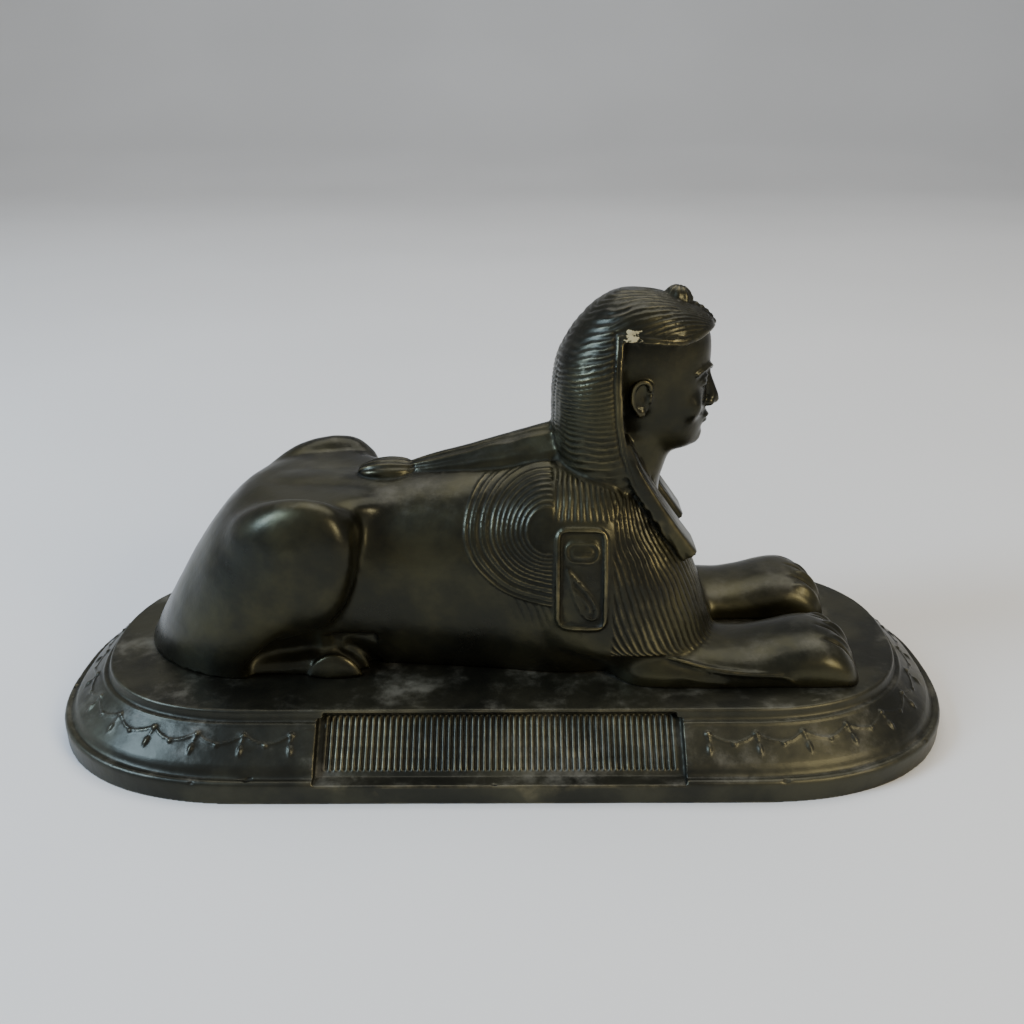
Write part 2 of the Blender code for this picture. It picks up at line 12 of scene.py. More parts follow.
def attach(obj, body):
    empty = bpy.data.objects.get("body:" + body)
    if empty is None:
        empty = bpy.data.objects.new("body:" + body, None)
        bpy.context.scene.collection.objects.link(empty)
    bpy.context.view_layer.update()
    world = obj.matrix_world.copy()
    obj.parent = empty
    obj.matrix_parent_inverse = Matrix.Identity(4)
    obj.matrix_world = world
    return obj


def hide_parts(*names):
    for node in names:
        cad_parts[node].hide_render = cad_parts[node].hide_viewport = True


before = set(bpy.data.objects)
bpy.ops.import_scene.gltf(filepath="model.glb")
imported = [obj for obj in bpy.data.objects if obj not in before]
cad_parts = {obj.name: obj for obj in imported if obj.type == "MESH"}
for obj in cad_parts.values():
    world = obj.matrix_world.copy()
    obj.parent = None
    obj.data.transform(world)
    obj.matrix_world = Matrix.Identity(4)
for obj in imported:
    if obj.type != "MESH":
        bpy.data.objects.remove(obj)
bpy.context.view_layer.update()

MM = 0.001

# Plinth, in millimetres
PLINTH_LENGTH = 230.0
PLINTH_WIDTH = 100.0
END_REACH = 1.18
END_FULLNESS = 2.4
END_STEPS = 64
DECK_HEIGHT = 17.2
PLINTH_PROFILE = [
    (0.0, 0.0), (0.0, 4.6), (0.12, 5.15), (0.45, 5.6), (0.95, 5.85), (1.45, 5.8), (1.75, 5.65), (2.1, 5.8),
    (2.6, 6.45), (2.95, 7.2), (3.25, 7.65), (3.7, 8.25), (6.0, 10.25), (8.3, 12.22), (10.1, 13.78),
    (10.35, 13.85), (10.55, 14.2), (10.85, 14.6), (11.3, 14.75), (11.7, 14.6), (11.95, 14.75), (12.25, 15.3),
    (12.45, 16.0), (12.5, 16.5), (12.7, 16.95), (13.1, 17.2),
]
FRIEZE_LOW = (0.86, 5.9)
FRIEZE_HIGH = (11.0, 14.6)
PANEL_LENGTH = 86.4
PANEL_RECESS = 2.5
PANEL_TOP = 15.2
PANEL_BOTTOM = 5.0
PANEL_BORDER = 1.3
RIB_COUNT = 60
RIB_DEPTH = 0.75
FRIEZE_RUN = 167.0
GARLAND_PITCH = 10.8
GARLAND_START = 5.4
SEAM_GAP = 0.3

# Figure, in millimetres over the table
SEAT = DECK_HEIGHT + SEAM_GAP
RING_POINTS = 72
BODY_VOXEL = 0.8
FIGURE_VOXEL = 0.36
SPHINX_TRIANGLES = 192000
PLINTH_TRIANGLES = 190000
# Along x: x, half width, bottom, top, fullness
TORSO = [
    (-93.3, 2.0, 11.0, 18.6, 2.2), (-91.0, 4.8, 11.0, 22.4, 2.2), (-88.0, 9.0, 11.0, 27.6, 2.2),
    (-84.5, 13.0, 11.0, 33.6, 2.2), (-78.0, 18.0, 11.0, 44.3, 2.2), (-71.7, 20.0, 11.0, 52.9, 2.2),
    (-65.5, 21.0, 11.0, 59.0, 2.2), (-60.0, 21.0, 11.0, 61.5, 2.2), (-50.0, 20.5, 11.0, 62.6, 2.2),
    (-38.0, 20.5, 10.5, 62.7, 2.3), (-28.0, 21.3, 10.0, 63.4, 2.4), (-15.0, 22.6, 10.0, 65.0, 2.5),
    (0.0, 24.0, 10.0, 66.6, 2.7), (13.0, 26.0, 10.0, 69.6, 2.9), (24.0, 26.3, 11.0, 69.6, 2.9),
    (33.0, 24.5, 12.0, 64.5, 2.6), (40.0, 20.0, 13.0, 55.0, 2.3),
]
QUEUE = [
    (17.0, 9.0, 60.0, 77.4, 1.7), (13.0, 8.2, 60.0, 76.3, 1.7), (6.0, 7.2, 60.0, 74.3, 1.7),
    (0.0, 6.4, 60.0, 72.6, 1.7), (-8.0, 5.3, 59.0, 70.3, 1.75), (-15.0, 4.3, 59.0, 68.4, 1.8),
    (-20.0, 3.4, 59.0, 66.9, 1.9), (-24.0, 2.8, 59.0, 65.6, 2.0),
]
# Along x on one side: x, inner y, outer y, bottom, top, fullness
FORELEG = [
    (25.0, 9.0, 17.5, 13.0, 23.5, 2.2), (29.0, 7.0, 24.5, 13.0, 25.5, 2.3),
    (34.0, 5.4, 28.3, 13.0, 26.8, 2.5), (42.0, 4.9, 29.2, 13.0, 26.8, 2.5),
    (52.0, 4.7, 29.2, 13.0, 25.6, 2.4), (60.0, 4.7, 29.0, 13.0, 25.2, 2.3),
    (67.0, 4.7, 29.1, 13.0, 26.3, 2.3), (73.0, 4.6, 29.4, 13.0, 28.0, 2.3),
    (78.0, 4.5, 29.6, 13.0, 28.6, 2.3), (83.0, 4.6, 29.3, 13.0, 26.9, 2.3),
    (86.2, 5.4, 28.2, 13.0, 23.6, 2.3), (88.2, 7.4, 26.0, 13.0, 20.2, 2.2),
    (89.2, 10.0, 23.0, 13.0, 17.8, 2.1),
]
HIND_FOOT = [
    (-72.0, 10.0, 22.4, 13.0, 20.0, 2.2), (-62.0, 10.0, 22.0, 13.0, 21.4, 2.4),
    (-54.0, 9.5, 21.8, 13.0, 21.7, 2.4), (-48.0, 9.0, 22.3, 13.0, 22.8, 2.4),
    (-43.0, 8.7, 23.2, 13.0, 23.4, 2.4), (-39.0, 8.9, 23.2, 13.0, 23.2, 2.3),
    (-36.4, 9.6, 22.4, 13.0, 21.4, 2.2), (-34.6, 11.2, 21.0, 13.0, 19.6, 2.1),
    (-33.8, 13.0, 19.2, 13.0, 18.0, 2.0),
]
HAUNCH = [
    (-73.0, 6.0, 13.0, 36.0, 45.0, 2.2), (-70.0, 6.0, 17.4, 33.0, 50.0, 2.2),
    (-66.0, 7.0, 21.8, 30.0, 55.3, 2.2),
    (-62.0, 9.0, 25.0, 29.0, 59.2, 2.3), (-57.0, 11.5, 27.3, 29.0, 62.3, 2.4),
    (-51.0, 14.0, 28.7, 30.0, 64.2, 2.4), (-45.0, 16.0, 29.2, 31.0, 64.9, 2.4),
    (-40.0, 17.0, 29.2, 34.0, 64.2, 2.4), (-36.2, 17.5, 28.6, 40.0, 61.6, 2.3),
    (-33.8, 18.5, 27.0, 47.0, 57.5, 2.1),
]
# Along z: z, back x, front x, half width, fullness
CHEST = [
    (14.0, 24.0, 57.0, 25.5, 2.4), (20.0, 20.0, 56.0, 26.8, 2.4), (24.2, 13.0, 54.9, 27.8, 2.6),
    (27.0, 4.0, 54.0, 28.3, 2.8), (32.0, 0.0, 52.4, 28.3, 2.8), (41.0, -2.0, 49.1, 27.9, 2.7),
    (47.0, -2.0, 46.3, 27.2, 2.5), (55.0, 0.0, 41.2, 25.2, 2.2), (61.0, 4.0, 38.6, 21.5, 2.1),
    (66.0, 8.0, 37.6, 16.0, 2.0), (70.0, 12.0, 37.0, 9.0, 2.0),
]
RUMP = [
    (12.0, -94.2, -36.0, 23.2, 1.75), (17.2, -93.4, -36.0, 23.8, 1.75), (20.0, -92.2, -36.0, 24.6, 1.8),
    (25.0, -89.7, -34.0, 26.0, 1.9), (30.0, -86.8, -31.0, 27.2, 2.0), (36.0, -83.1, -28.0, 28.2, 2.0),
    (43.5, -78.4, -26.0, 28.5, 2.05), (50.0, -74.0, -24.0, 28.4, 2.1), (54.5, -70.4, -23.0, 28.0, 2.1),
    (58.0, -67.0, -23.0, 26.6, 2.1), (60.5, -63.8, -24.0, 23.5, 2.1), (62.0, -60.0, -27.0, 18.0, 2.0),
]
# Front limit of the rump, which leaves the heel tendon standing: z, x
TENDON = [(12.0, -62.0), (21.0, -63.0), (33.0, -51.5), (42.0, -42.0), (52.0, -39.0), (63.0, -38.0)]
NECK = [
    (55.0, 18.0, 40.0, 12.0, 2.2), (61.0, 18.0, 40.0, 10.2, 2.1), (66.0, 18.0, 41.2, 9.6, 2.1),
    (70.0, 18.0, 42.6, 9.5, 2.1), (75.0, 18.0, 44.0, 9.8, 2.1),
]
HEAD = [
    (69.8, 40.0, 45.6, 3.0, 2.0), (70.8, 34.0, 47.7, 5.4, 2.0), (72.6, 28.0, 48.9, 7.2, 2.1),
    (75.0, 24.0, 49.6, 8.7, 2.1), (78.0, 22.0, 50.1, 9.7, 2.15), (82.0, 20.0, 50.4, 10.7, 2.2),
    (86.0, 20.0, 50.3, 11.2, 2.2), (89.0, 20.0, 50.5, 11.3, 2.2), (92.0, 20.0, 50.9, 11.3, 2.2),
    (96.0, 20.0, 50.9, 11.0, 2.2), (101.0, 22.0, 49.6, 10.2, 2.1),
]
CLOTH = [
    (58.0, 15.0, 41.0, 15.0, 2.2), (66.0, 13.7, 42.0, 16.6, 2.25), (72.0, 13.0, 42.0, 16.9, 2.3),
    (78.0, 12.7, 42.0, 16.9, 2.3), (84.0, 12.7, 42.0, 16.8, 2.3), (90.0, 13.3, 43.0, 16.4, 2.3),
    (94.0, 14.4, 46.0, 15.9, 2.2), (98.0, 16.4, 50.2, 14.9, 2.1), (100.5, 18.0, 51.4, 14.0, 2.05),
    (102.5, 19.6, 50.2, 13.0, 2.05), (104.5, 21.5, 47.4, 11.6, 2.05), (106.3, 23.8, 43.6, 9.4, 2.0),
    (107.8, 26.2, 39.4, 6.5, 2.0), (108.7, 28.6, 34.8, 3.0, 2.0),
]
# Along z on one side: z, back x, front x, inner y, outer y, fullness
THIGH = [
    (28.0, -59.0, -50.0, 10.0, 23.0, 2.1), (31.0, -60.0, -44.6, 8.0, 25.8, 2.3),
    (36.0, -60.0, -39.6, 7.0, 27.6, 2.5), (42.0, -60.0, -36.2, 7.0, 28.7, 2.7),
    (48.0, -60.0, -34.1, 7.0, 29.3, 2.8), (54.0, -58.0, -32.9, 9.0, 29.1, 2.7),
    (58.0, -55.0, -33.0, 13.0, 28.2, 2.5), (61.0, -52.0, -34.6, 17.0, 26.6, 2.2),
]
ANKLE = [
    (22.0, -46.0, -37.5, 10.0, 20.5, 2.1), (28.0, -47.0, -37.8, 10.0, 20.8, 2.1),
    (34.0, -50.0, -36.8, 10.0, 21.4, 2.1), (40.0, -52.0, -36.0, 10.0, 21.0, 2.1),
]
# Opening of the headcloth in side view: x, z
FACE_OPENING = [
    (28.6, 99.3), (28.2, 90.7), (28.9, 81.1), (30.2, 73.7), (33.0, 66.1), (37.5, 57.0),
    (64.0, 57.0), (64.0, 101.4), (50.0, 100.2), (46.0, 98.7), (42.5, 98.1), (35.0, 98.9),
]
# Middle line of a lappet, with its half width: x, y, z, half width
LAPPET = [
    (28.8, 12.6, 75.0, 3.8), (33.0, 12.4, 66.4, 5.0), (37.4, 12.0, 59.4, 6.1),
    (42.0, 11.7, 52.7, 6.5), (46.2, 11.3, 46.9, 6.2),
]
LAPPET_THICKNESS = 4.6
# Rounded forms of the headdress: centre, half axes, tilt about y in degrees
URAEUS_FORMS = [((42.5, 0.0, 106.4), (3.7, 3.4, 3.1), 25.0), ((47.9, 0.0, 103.0), (4.8, 1.9, 1.7), 37.0)]
TUFT_FORM = ((-28.0, 0.0, 63.9), (7.7, 4.7, 2.9), -3.0)
# Toes: middle y, furthest x, top z at the knuckle
FORE_TOES = [(8.2, 88.6, 26.8), (14.0, 89.6, 27.8), (20.0, 89.2, 27.4), (25.7, 86.6, 26.0)]
HIND_TOES = [(10.6, -33.6, 26.6), (14.5, -32.4, 26.5), (18.4, -32.4, 25.0), (22.0, -33.8, 23.2)]
# Cartouche on the shoulder: x and z limits
CARTOUCHE = (13.9, 25.1, 33.9, 57.7)
# Ring lines behind the shoulder: centre, half axes and the shares at which they stand
ARC_CENTRE = (11.5, 56.4)
ARC_REACH = 19.3
ARC_DROP = 17.0
ARC_RISE = 26.0
ARC_LINES = (1.0, 0.93, 0.885, 0.80, 0.755, 0.675, 0.61, 0.55, 0.49, 0.43, 0.37, 0.31, 0.25)


def signed_power(value, exponent):
    """Raise the size of a number to a power and keep its sign."""
    return math.copysign(abs(value) ** exponent, value)


def section(centre, across, along, fullness, count=RING_POINTS):
    """Return the points of a superellipse with the half axes across and along."""
    points = []
    for i in range(count):
        turn = 2 * math.pi * (i + 0.5) / count
        c = signed_power(math.cos(turn), 2 / fullness)
        s = signed_power(math.sin(turn), 2 / fullness)
        points.append(centre + across * c + along * s)
    return points


def eased(stations, step=1.5):
    """Return stations at most a step apart, by a cubic that never overshoots."""
    count = len(stations)
    width = len(stations[0])
    slopes = []
    for i in range(count):
        row = []
        for k in range(width):
            if 0 < i < count - 1:
                before = stations[i][k] - stations[i - 1][k]
                after = stations[i + 1][k] - stations[i][k]
                low, high = sorted((abs(before), abs(after)))
                size = min((low + high) / 2, 2 * low) if before * after > 0 else 0.0
                row.append(math.copysign(size, before))
            else:
                near = min(max(i, 1), count - 1)
                row.append(stations[near][k] - stations[near - 1][k])
        slopes.append(row)
    result = []
    for i in range(count - 1):
        pieces = max(1, math.ceil(abs(stations[i + 1][0] - stations[i][0]) / step))
        for j in range(pieces):
            t = j / pieces
            a = 2 * t ** 3 - 3 * t ** 2 + 1
            b = t ** 3 - 2 * t ** 2 + t
            c = -2 * t ** 3 + 3 * t ** 2
            d = t ** 3 - t ** 2
            result.append([
                a * stations[i][k] + b * slopes[i][k] + c * stations[i + 1][k] + d * slopes[i + 1][k]
                for k in range(width)
            ])
    result.append(list(stations[-1]))
    return result


def add_loft(bm, rings, closed=False):
    """Add a skin through rings of equal length, with flat ends or joined to its own start."""
    rows = [[bm.verts.new(point) for point in ring] for ring in rings]
    count = len(rows[0])
    made = []
    for low, high in zip(rows, rows[1:] + rows[:1] if closed else rows[1:]):
        for i in range(count):
            j = (i + 1) % count
            made.append(bm.faces.new((low[i], low[j], high[j], high[i])))
    if not closed:
        made.append(bm.faces.new(rows[0][::-1]))
        made.append(bm.faces.new(rows[-1]))
    bmesh.ops.recalc_face_normals(bm, faces=made)


def add_lengthwise(bm, stations, side=1):
    """Add a form through upright sections that stand across the x axis."""
    rings = []
    for x, inner, outer, low, high, fullness in eased(stations):
        centre = Vector((x, side * (inner + outer) / 2, (low + high) / 2))
        rings.append(section(
            centre, Vector((0, (outer - inner) / 2, 0)), Vector((0, 0, (high - low) / 2)), fullness))
    add_loft(bm, rings)


def add_upright(bm, stations, side=1):
    """Add a form through level sections, one above the other."""
    rings = []
    for z, back, front, inner, outer, fullness in eased(stations):
        centre = Vector(((back + front) / 2, side * (inner + outer) / 2, z))
        rings.append(section(
            centre, Vector(((front - back) / 2, 0, 0)), Vector((0, (outer - inner) / 2, 0)), fullness))
    add_loft(bm, rings)


def both_halves(stations, at):
    """Turn one half width at the given place into an inner and an outer edge."""
    return [(*row[:at], -row[at], row[at], *row[at + 1:]) for row in stations]


def add_ellipsoid(bm, centre, axes, tilt=0.0):
    """Add an ellipsoid turned about the y direction."""
    turned = Matrix.Rotation(math.radians(tilt), 4, "Y") @ Matrix.Diagonal((*axes, 1))
    matrix = Matrix.Translation(centre) @ turned
    bmesh.ops.create_uvsphere(bm, u_segments=40, v_segments=26, radius=1.0, matrix=matrix)


def add_tube(bm, points, radii, closed=False, count=12):
    """Add a round tube through the points, with a radius at each."""
    rings = []
    total = len(points)
    for i, point in enumerate(points):
        before = points[i - 1] if closed or i else point
        after = points[(i + 1) % total] if closed or i < total - 1 else point
        run = (Vector(after) - Vector(before)).normalized()
        helper = Vector((0, 1, 0)) if abs(run.y) < 0.8 else Vector((0, 0, 1))
        across = run.cross(helper).normalized()
        along = run.cross(across).normalized()
        radius = radii[i] if isinstance(radii, (list, tuple)) else radii
        rings.append([
            Vector(point) + radius * (math.cos(a) * across + math.sin(a) * along)
            for a in (2 * math.pi * k / count for k in range(count))
        ])
    add_loft(bm, rings, closed)


def curve_through(points, steps=8):
    """Return a smooth open path through the points."""
    rows = [Vector(p) for p in points]
    path = []
    for i in range(len(rows) - 1):
        a = rows[max(i - 1, 0)]
        b, c = rows[i], rows[i + 1]
        d = rows[min(i + 2, len(rows) - 1)]
        for j in range(steps):
            t = j / steps
            path.append(0.5 * (2 * b + (c - a) * t + (2 * a - 5 * b + 4 * c - d) * t ** 2
                               + (3 * b - a - 3 * c + d) * t ** 3))
    path.append(rows[-1])
    return path


def object_from(bm, name):
    """Turn the working mesh into an object of the scene."""
    mesh = bpy.data.meshes.new(name)
    bm.to_mesh(mesh)
    bm.free()
    item = bpy.data.objects.new(name, mesh)
    bpy.context.scene.collection.objects.link(item)
    return item


def bake(item):
    """Replace the object's mesh by the result of its modifiers."""
    bpy.context.view_layer.update()
    old = item.data
    item.data = bpy.data.meshes.new_from_object(item.evaluated_get(bpy.context.evaluated_depsgraph_get()))
    item.modifiers.clear()
    bpy.data.meshes.remove(old)


def fuse(item, voxel, rounds, refine=False):
    """Fuse overlapping closed forms into one skin and ease its edges."""
    remesh = item.modifiers.new("fuse", "REMESH")
    remesh.mode = "VOXEL"
    remesh.voxel_size = voxel
    ease = item.modifiers.new("ease", "SMOOTH")
    ease.factor = 0.5
    ease.iterations = rounds
    if refine:
        finer = item.modifiers.new("finer", "SUBSURF")
        finer.levels = finer.render_levels = 1
    bake(item)


def prism(name, outline, depth):
    """Return a flat outline pushed out by a vector."""
    bm = bmesh.new()
    face = bm.faces.new([bm.verts.new(point) for point in outline])
    pushed = bmesh.ops.extrude_face_region(bm, geom=[face])
    corners = [item for item in pushed["geom"] if isinstance(item, bmesh.types.BMVert)]
    bmesh.ops.translate(bm, verts=corners, vec=depth)
    bmesh.ops.recalc_face_normals(bm, faces=bm.faces)
    return object_from(bm, name)


def cut_away(item, cutter):
    """Cut one object out of another and drop the cutter."""
    cut = item.modifiers.new("cut", "BOOLEAN")
    cut.operation = "DIFFERENCE"
    cut.solver = "EXACT"
    cut.object = cutter
    bake(item)
    bpy.data.objects.remove(cutter, do_unlink=True)


def points_of(item):
    """Return the mesh points and their normals as arrays."""
    count = len(item.data.vertices)
    points = np.empty(count * 3)
    item.data.vertices.foreach_get("co", points)
    normals = np.empty(count * 3)
    item.data.vertices.foreach_get("normal", normals)
    return points.reshape(-1, 3), normals.reshape(-1, 3)


def put_points(item, points):
    """Write the points back to the mesh."""
    item.data.vertices.foreach_set("co", points.astype(np.float32).ravel())
    item.data.update()


def ramp(value, low, high):
    """Rise smoothly from 0 at low to 1 at high."""
    t = np.clip((value - low) / (high - low), 0.0, 1.0)
    return t * t * (3 - 2 * t)


def hump(value, width):
    """Fall from 1 at zero to nothing over about the width."""
    return np.exp(-(value / width) ** 2)


def drift(points, size, seed):
    """Return slow, seeded variation between about -1 and 1 over the points."""
    source = np.random.default_rng(seed)
    total = np.zeros(len(points))
    for _ in range(7):
        way = source.normal(size=3)
        way /= np.linalg.norm(way)
        turns = source.uniform(0.6, 1.7) * 2 * math.pi / size
        total += np.sin(points @ way * turns + source.uniform(0, 6.3))
    return total / 3.7


def column(stations, index, at):
    """Read one column of a list of stations at the given places."""
    rows = eased(stations)
    rows.sort(key=lambda row: row[0])
    return np.interp(at, [row[0] for row in rows], [row[index] for row in rows])


def form_value(stations, x, y, z):
    """Return 1 on the surface of an upright form, less inside it and more outside."""
    back, front = column(stations, 1, z), column(stations, 2, z)
    half, fullness = column(stations, 3, z), column(stations, 4, z)
    u = np.abs(x - (back + front) / 2) / ((front - back) / 2)
    v = np.abs(y) / half
    return (u ** fullness + v ** fullness) ** (1 / fullness)


def add_rump(bm):
    """Add the rump, cut back in front along the heel tendons."""
    rings = []
    for z, back, front, half, fullness in eased(RUMP):
        limit = next(
            x0 + (x1 - x0) * (z - z0) / (z1 - z0)
            for (z0, x0), (z1, x1) in zip(TENDON, TENDON[1:]) if z <= z1)
        centre = Vector(((back + front) / 2, 0, z))
        ring = section(centre, Vector(((front - back) / 2, 0, 0)), Vector((0, half, 0)), fullness)
        for point in ring:
            share = min(max((20.0 - abs(point.y)) / 8.0, 0.0), 1.0)
            point.x = min(point.x, limit + max(front - limit, 0.0) * share)
        rings.append(ring)
    add_loft(bm, rings)


def soft_forms():
    """Return the working mesh of the body, legs, neck and head."""
    bm = bmesh.new()
    add_lengthwise(bm, both_halves(TORSO, 1))
    for stations in (CHEST, NECK, HEAD):
        add_upright(bm, both_halves(stations, 3))
    add_rump(bm)
    for side in (1, -1):
        add_upright(bm, THIGH, side)
        add_lengthwise(bm, HAUNCH, side)
        add_lengthwise(bm, FORELEG, side)
        add_lengthwise(bm, HIND_FOOT, side)
        add_upright(bm, ANKLE, side)
    add_ellipsoid(bm, (46.9, 0.0, 72.9), (3.1, 3.6, 2.6))
    add_ellipsoid(bm, (46.4, 0.0, 78.6), (4.5, 5.4, 4.2))
    for side in (1, -1):
        add_ellipsoid(bm, (45.4, side * 6.2, 82.0), (3.4, 3.3, 3.8))
        add_ellipsoid(bm, (33.4, side * 11.2, 85.8), (2.7, 1.7, 4.3), 6.0)
    return bm


def shape_body(item):
    """Press the eye sockets, the sides of the nose and the ears into the soft head."""
    points, normals = points_of(item)
    x, y, z = points.T
    wide = np.abs(y)
    push = -1.2 * hump(wide - 4.3, 2.5) * hump(z - 88.1, 2.0) * ramp(x, 40.0, 46.0)
    push -= 0.4 * hump(wide - 3.4, 1.8) * hump(z - 81.0, 2.6) * ramp(x, 44.0, 48.0)
    push -= 1.1 * hump(np.hypot((x - 33.9) * 1.5, z - 86.2), 1.9) * ramp(wide, 10.0, 11.5)
    points = points + normals * push[:, None]
    behind_thigh = ramp(x, -86.0, -76.0) * ramp(-x, 50.0, 62.0) * ramp(z, 22.0, 34.0) * ramp(wide, 4.0, 12.0)
    before_knee = ramp(x, -35.0, -29.0) * ramp(-x, 4.0, 16.0) * ramp(z, 36.0, 48.0) * ramp(wide, 3.0, 9.0)
    share = np.maximum(behind_thigh, before_knee)
    away = ((relaxed(points, neighbours(item), 120) - points) * normals).sum(axis=1)
    put_points(item, points + normals * (away * share)[:, None])


def lappet_rings(side):
    """Return the sections of a lappet that lies on the chest."""
    rings = []
    rows = eased([(row[2], row[0], row[1], row[3]) for row in LAPPET])
    places = [Vector((x, side * y, z)) for z, x, y, _ in rows]
    for i, row in enumerate(rows):
        run = (places[min(i + 1, len(rows) - 1)] - places[max(i - 1, 0)]).normalized()
        across = Vector((0, 1, 0))
        out = across.cross(run).normalized()
        rings.append(section(places[i], across * row[3], out * (LAPPET_THICKNESS / 2), 6.0))
    return rings


def add_toes(bm, toes, reach, half_width, side):
    """Add the rounded toes of one paw."""
    for y, front, top in toes:
        height = top - DECK_HEIGHT + 3.0
        add_ellipsoid(bm, (front - reach, side * y, top - height), (reach, half_width, height))


def add_eye(bm, side):
    """Add one eye: a plain almond with lids and a brow."""
    add_ellipsoid(bm, (48.2, side * 4.3, 87.7), (1.55, 2.15, 1.1))
    for rise, radius in ((1.25, 0.38), (-1.0, 0.3)):
        path = curve_through([
            (49.5, side * 2.0, 87.5), (49.75, side * 3.3, 87.7 + rise * 0.85),
            (49.35, side * 4.6, 87.75 + rise),
            (48.3, side * 6.0, 87.8 + rise * 0.7), (46.9, side * 7.2, 87.8),
        ])
        add_tube(bm, path, radius)
    path = curve_through([
        (50.9, side * 1.7, 90.2), (50.7, side * 3.3, 91.1), (49.9, side * 5.2, 91.5),
        (48.3, side * 7.2, 91.0), (46.3, side * 8.6, 89.9),
    ])
    add_tube(bm, path, 0.5)


def add_ear(bm, side):
    """Add one plain ear: rim, lobe and the small flap in front."""
    rim = curve_through([
        (35.4, side * 12.0, 87.4), (35.1, side * 12.4, 89.0), (33.6, side * 12.7, 89.8),
        (31.9, side * 12.6, 88.8), (31.2, side * 12.4, 86.6), (31.6, side * 12.3, 84.2),
        (32.7, side * 12.2, 82.4),
    ])
    add_tube(bm, rim, 0.62)
    add_ellipsoid(bm, (33.3, side * 12.0, 82.2), (1.2, 1.0, 1.3))
    add_ellipsoid(bm, (35.4, side * 12.0, 85.6), (0.55, 0.6, 1.2))


def add_face(bm):
    """Add the fine forms of a calm, plain face in even proportions."""
    bridge = curve_through([(51.1, 0, 91.6), (51.3, 0, 88.4), (52.6, 0, 85.0), (53.7, 0, 82.4)])
    radii = [1.15 + 0.75 * i / (len(bridge) - 1) for i in range(len(bridge))]
    add_tube(bm, [(x - r, y, z) for (x, y, z), r in zip(bridge, radii)], radii, count=16)
    add_ellipsoid(bm, (51.9, 0.0, 82.0), (1.9, 1.5, 1.35))
    for side in (1, -1):
        add_ellipsoid(bm, (50.9, side * 1.7, 81.6), (1.5, 0.95, 1.1))
        add_ellipsoid(bm, (49.7, side * 1.2, 78.5), (1.5, 2.2, 0.75))
    add_ellipsoid(bm, (49.5, 0.0, 77.05), (1.55, 2.7, 0.9))
    add_ellipsoid(bm, (47.7, 0.0, 73.8), (2.2, 3.2, 2.1))
    for side in (1, -1):
        add_eye(bm, side)
        add_ear(bm, side)


def add_headcloth(bm):
    """Add the headcloth with its opening for the face."""
    part = bmesh.new()
    add_upright(part, both_halves(CLOTH, 3))
    cloth = object_from(part, "headcloth")
    opening = prism("face_opening", [Vector((x, -30.0, z)) for x, z in FACE_OPENING], Vector((0, 60.0, 0)))
    cut_away(cloth, opening)
    bm.from_mesh(cloth.data)
    bpy.data.objects.remove(cloth, do_unlink=True)


def rounded_rectangle(left, right, low, high, radius, steps=6):
    """Return the corner arcs of a rounded rectangle in side view."""
    points = []
    for cx, cz, first in (
        (right - radius, high - radius, 0), (left + radius, high - radius, 90),
        (left + radius, low + radius, 180), (right - radius, low + radius, 270),
    ):
        for i in range(steps + 1):
            turn = math.radians(first + 90 * i / steps)
            points.append((cx + radius * math.cos(turn), cz + radius * math.sin(turn)))
    return points


def spread(outline, step=0.8):
    """Return a closed outline with points no further apart than the step."""
    result = []
    for i, (x, z) in enumerate(outline):
        nx, nz = outline[(i + 1) % len(outline)]
        pieces = max(1, math.ceil(math.hypot(nx - x, nz - z) / step))
        result += [(x + (nx - x) * k / pieces, z + (nz - z) * k / pieces) for k in range(pieces)]
    return result


def drop_outline(top, bottom, half_width, steps=16):
    """Return a teardrop that hangs from a point, in side view."""
    axis = Vector(bottom) - Vector(top)
    across = Vector((-axis.y, axis.x)).normalized()
    points = []
    for i in range(2 * steps):
        turn = math.pi * i / steps
        along = (1 - math.cos(turn)) / 2
        points.append(tuple(Vector(top) + axis * along + across * half_width * math.sin(turn) * along ** 0.8))
    return points


def on_side(surface, outline, side, lift=0.0):
    """Lay an outline in side view onto the side of the body."""
    points = []
    for x, z in outline:
        hit = surface.ray_cast(Vector((x, side * 60.0, z)), Vector((0, -side, 0)))
        points.append(hit[0] + hit[1] * lift)
    return points


def add_cartouche(bm, surface, side):
    """Add the rim of a cartouche with a loop and a drop in it."""
    left, right, low, high = CARTOUCHE
    rim = spread(rounded_rectangle(left, right, low, high, 2.6))
    add_tube(bm, on_side(surface, rim, side, 0.1), 0.62, closed=True)
    loop = spread(rounded_rectangle(left + 1.9, right - 1.7, high - 7.4, high - 2.9, 2.1))
    add_tube(bm, on_side(surface, loop, side, 0.0), 0.5, closed=True)
    inner = spread(rounded_rectangle(left + 3.4, right - 3.2, high - 6.0, high - 4.3, 0.8), 0.5)
    add_tube(bm, on_side(surface, inner, side, -0.1), 0.35, closed=True)
    drop = spread(drop_outline((left + 2.2, high - 9.2), (left + 8.6, low + 2.4), 2.7))
    add_tube(bm, on_side(surface, drop, side, 0.0), 0.5, closed=True)
    core = drop_outline((left + 4.2, high - 14.0), (left + 7.4, low + 4.0), 1.0)
    add_tube(bm, on_side(surface, spread(core, 0.5), side, 0.0), 0.42, closed=True)


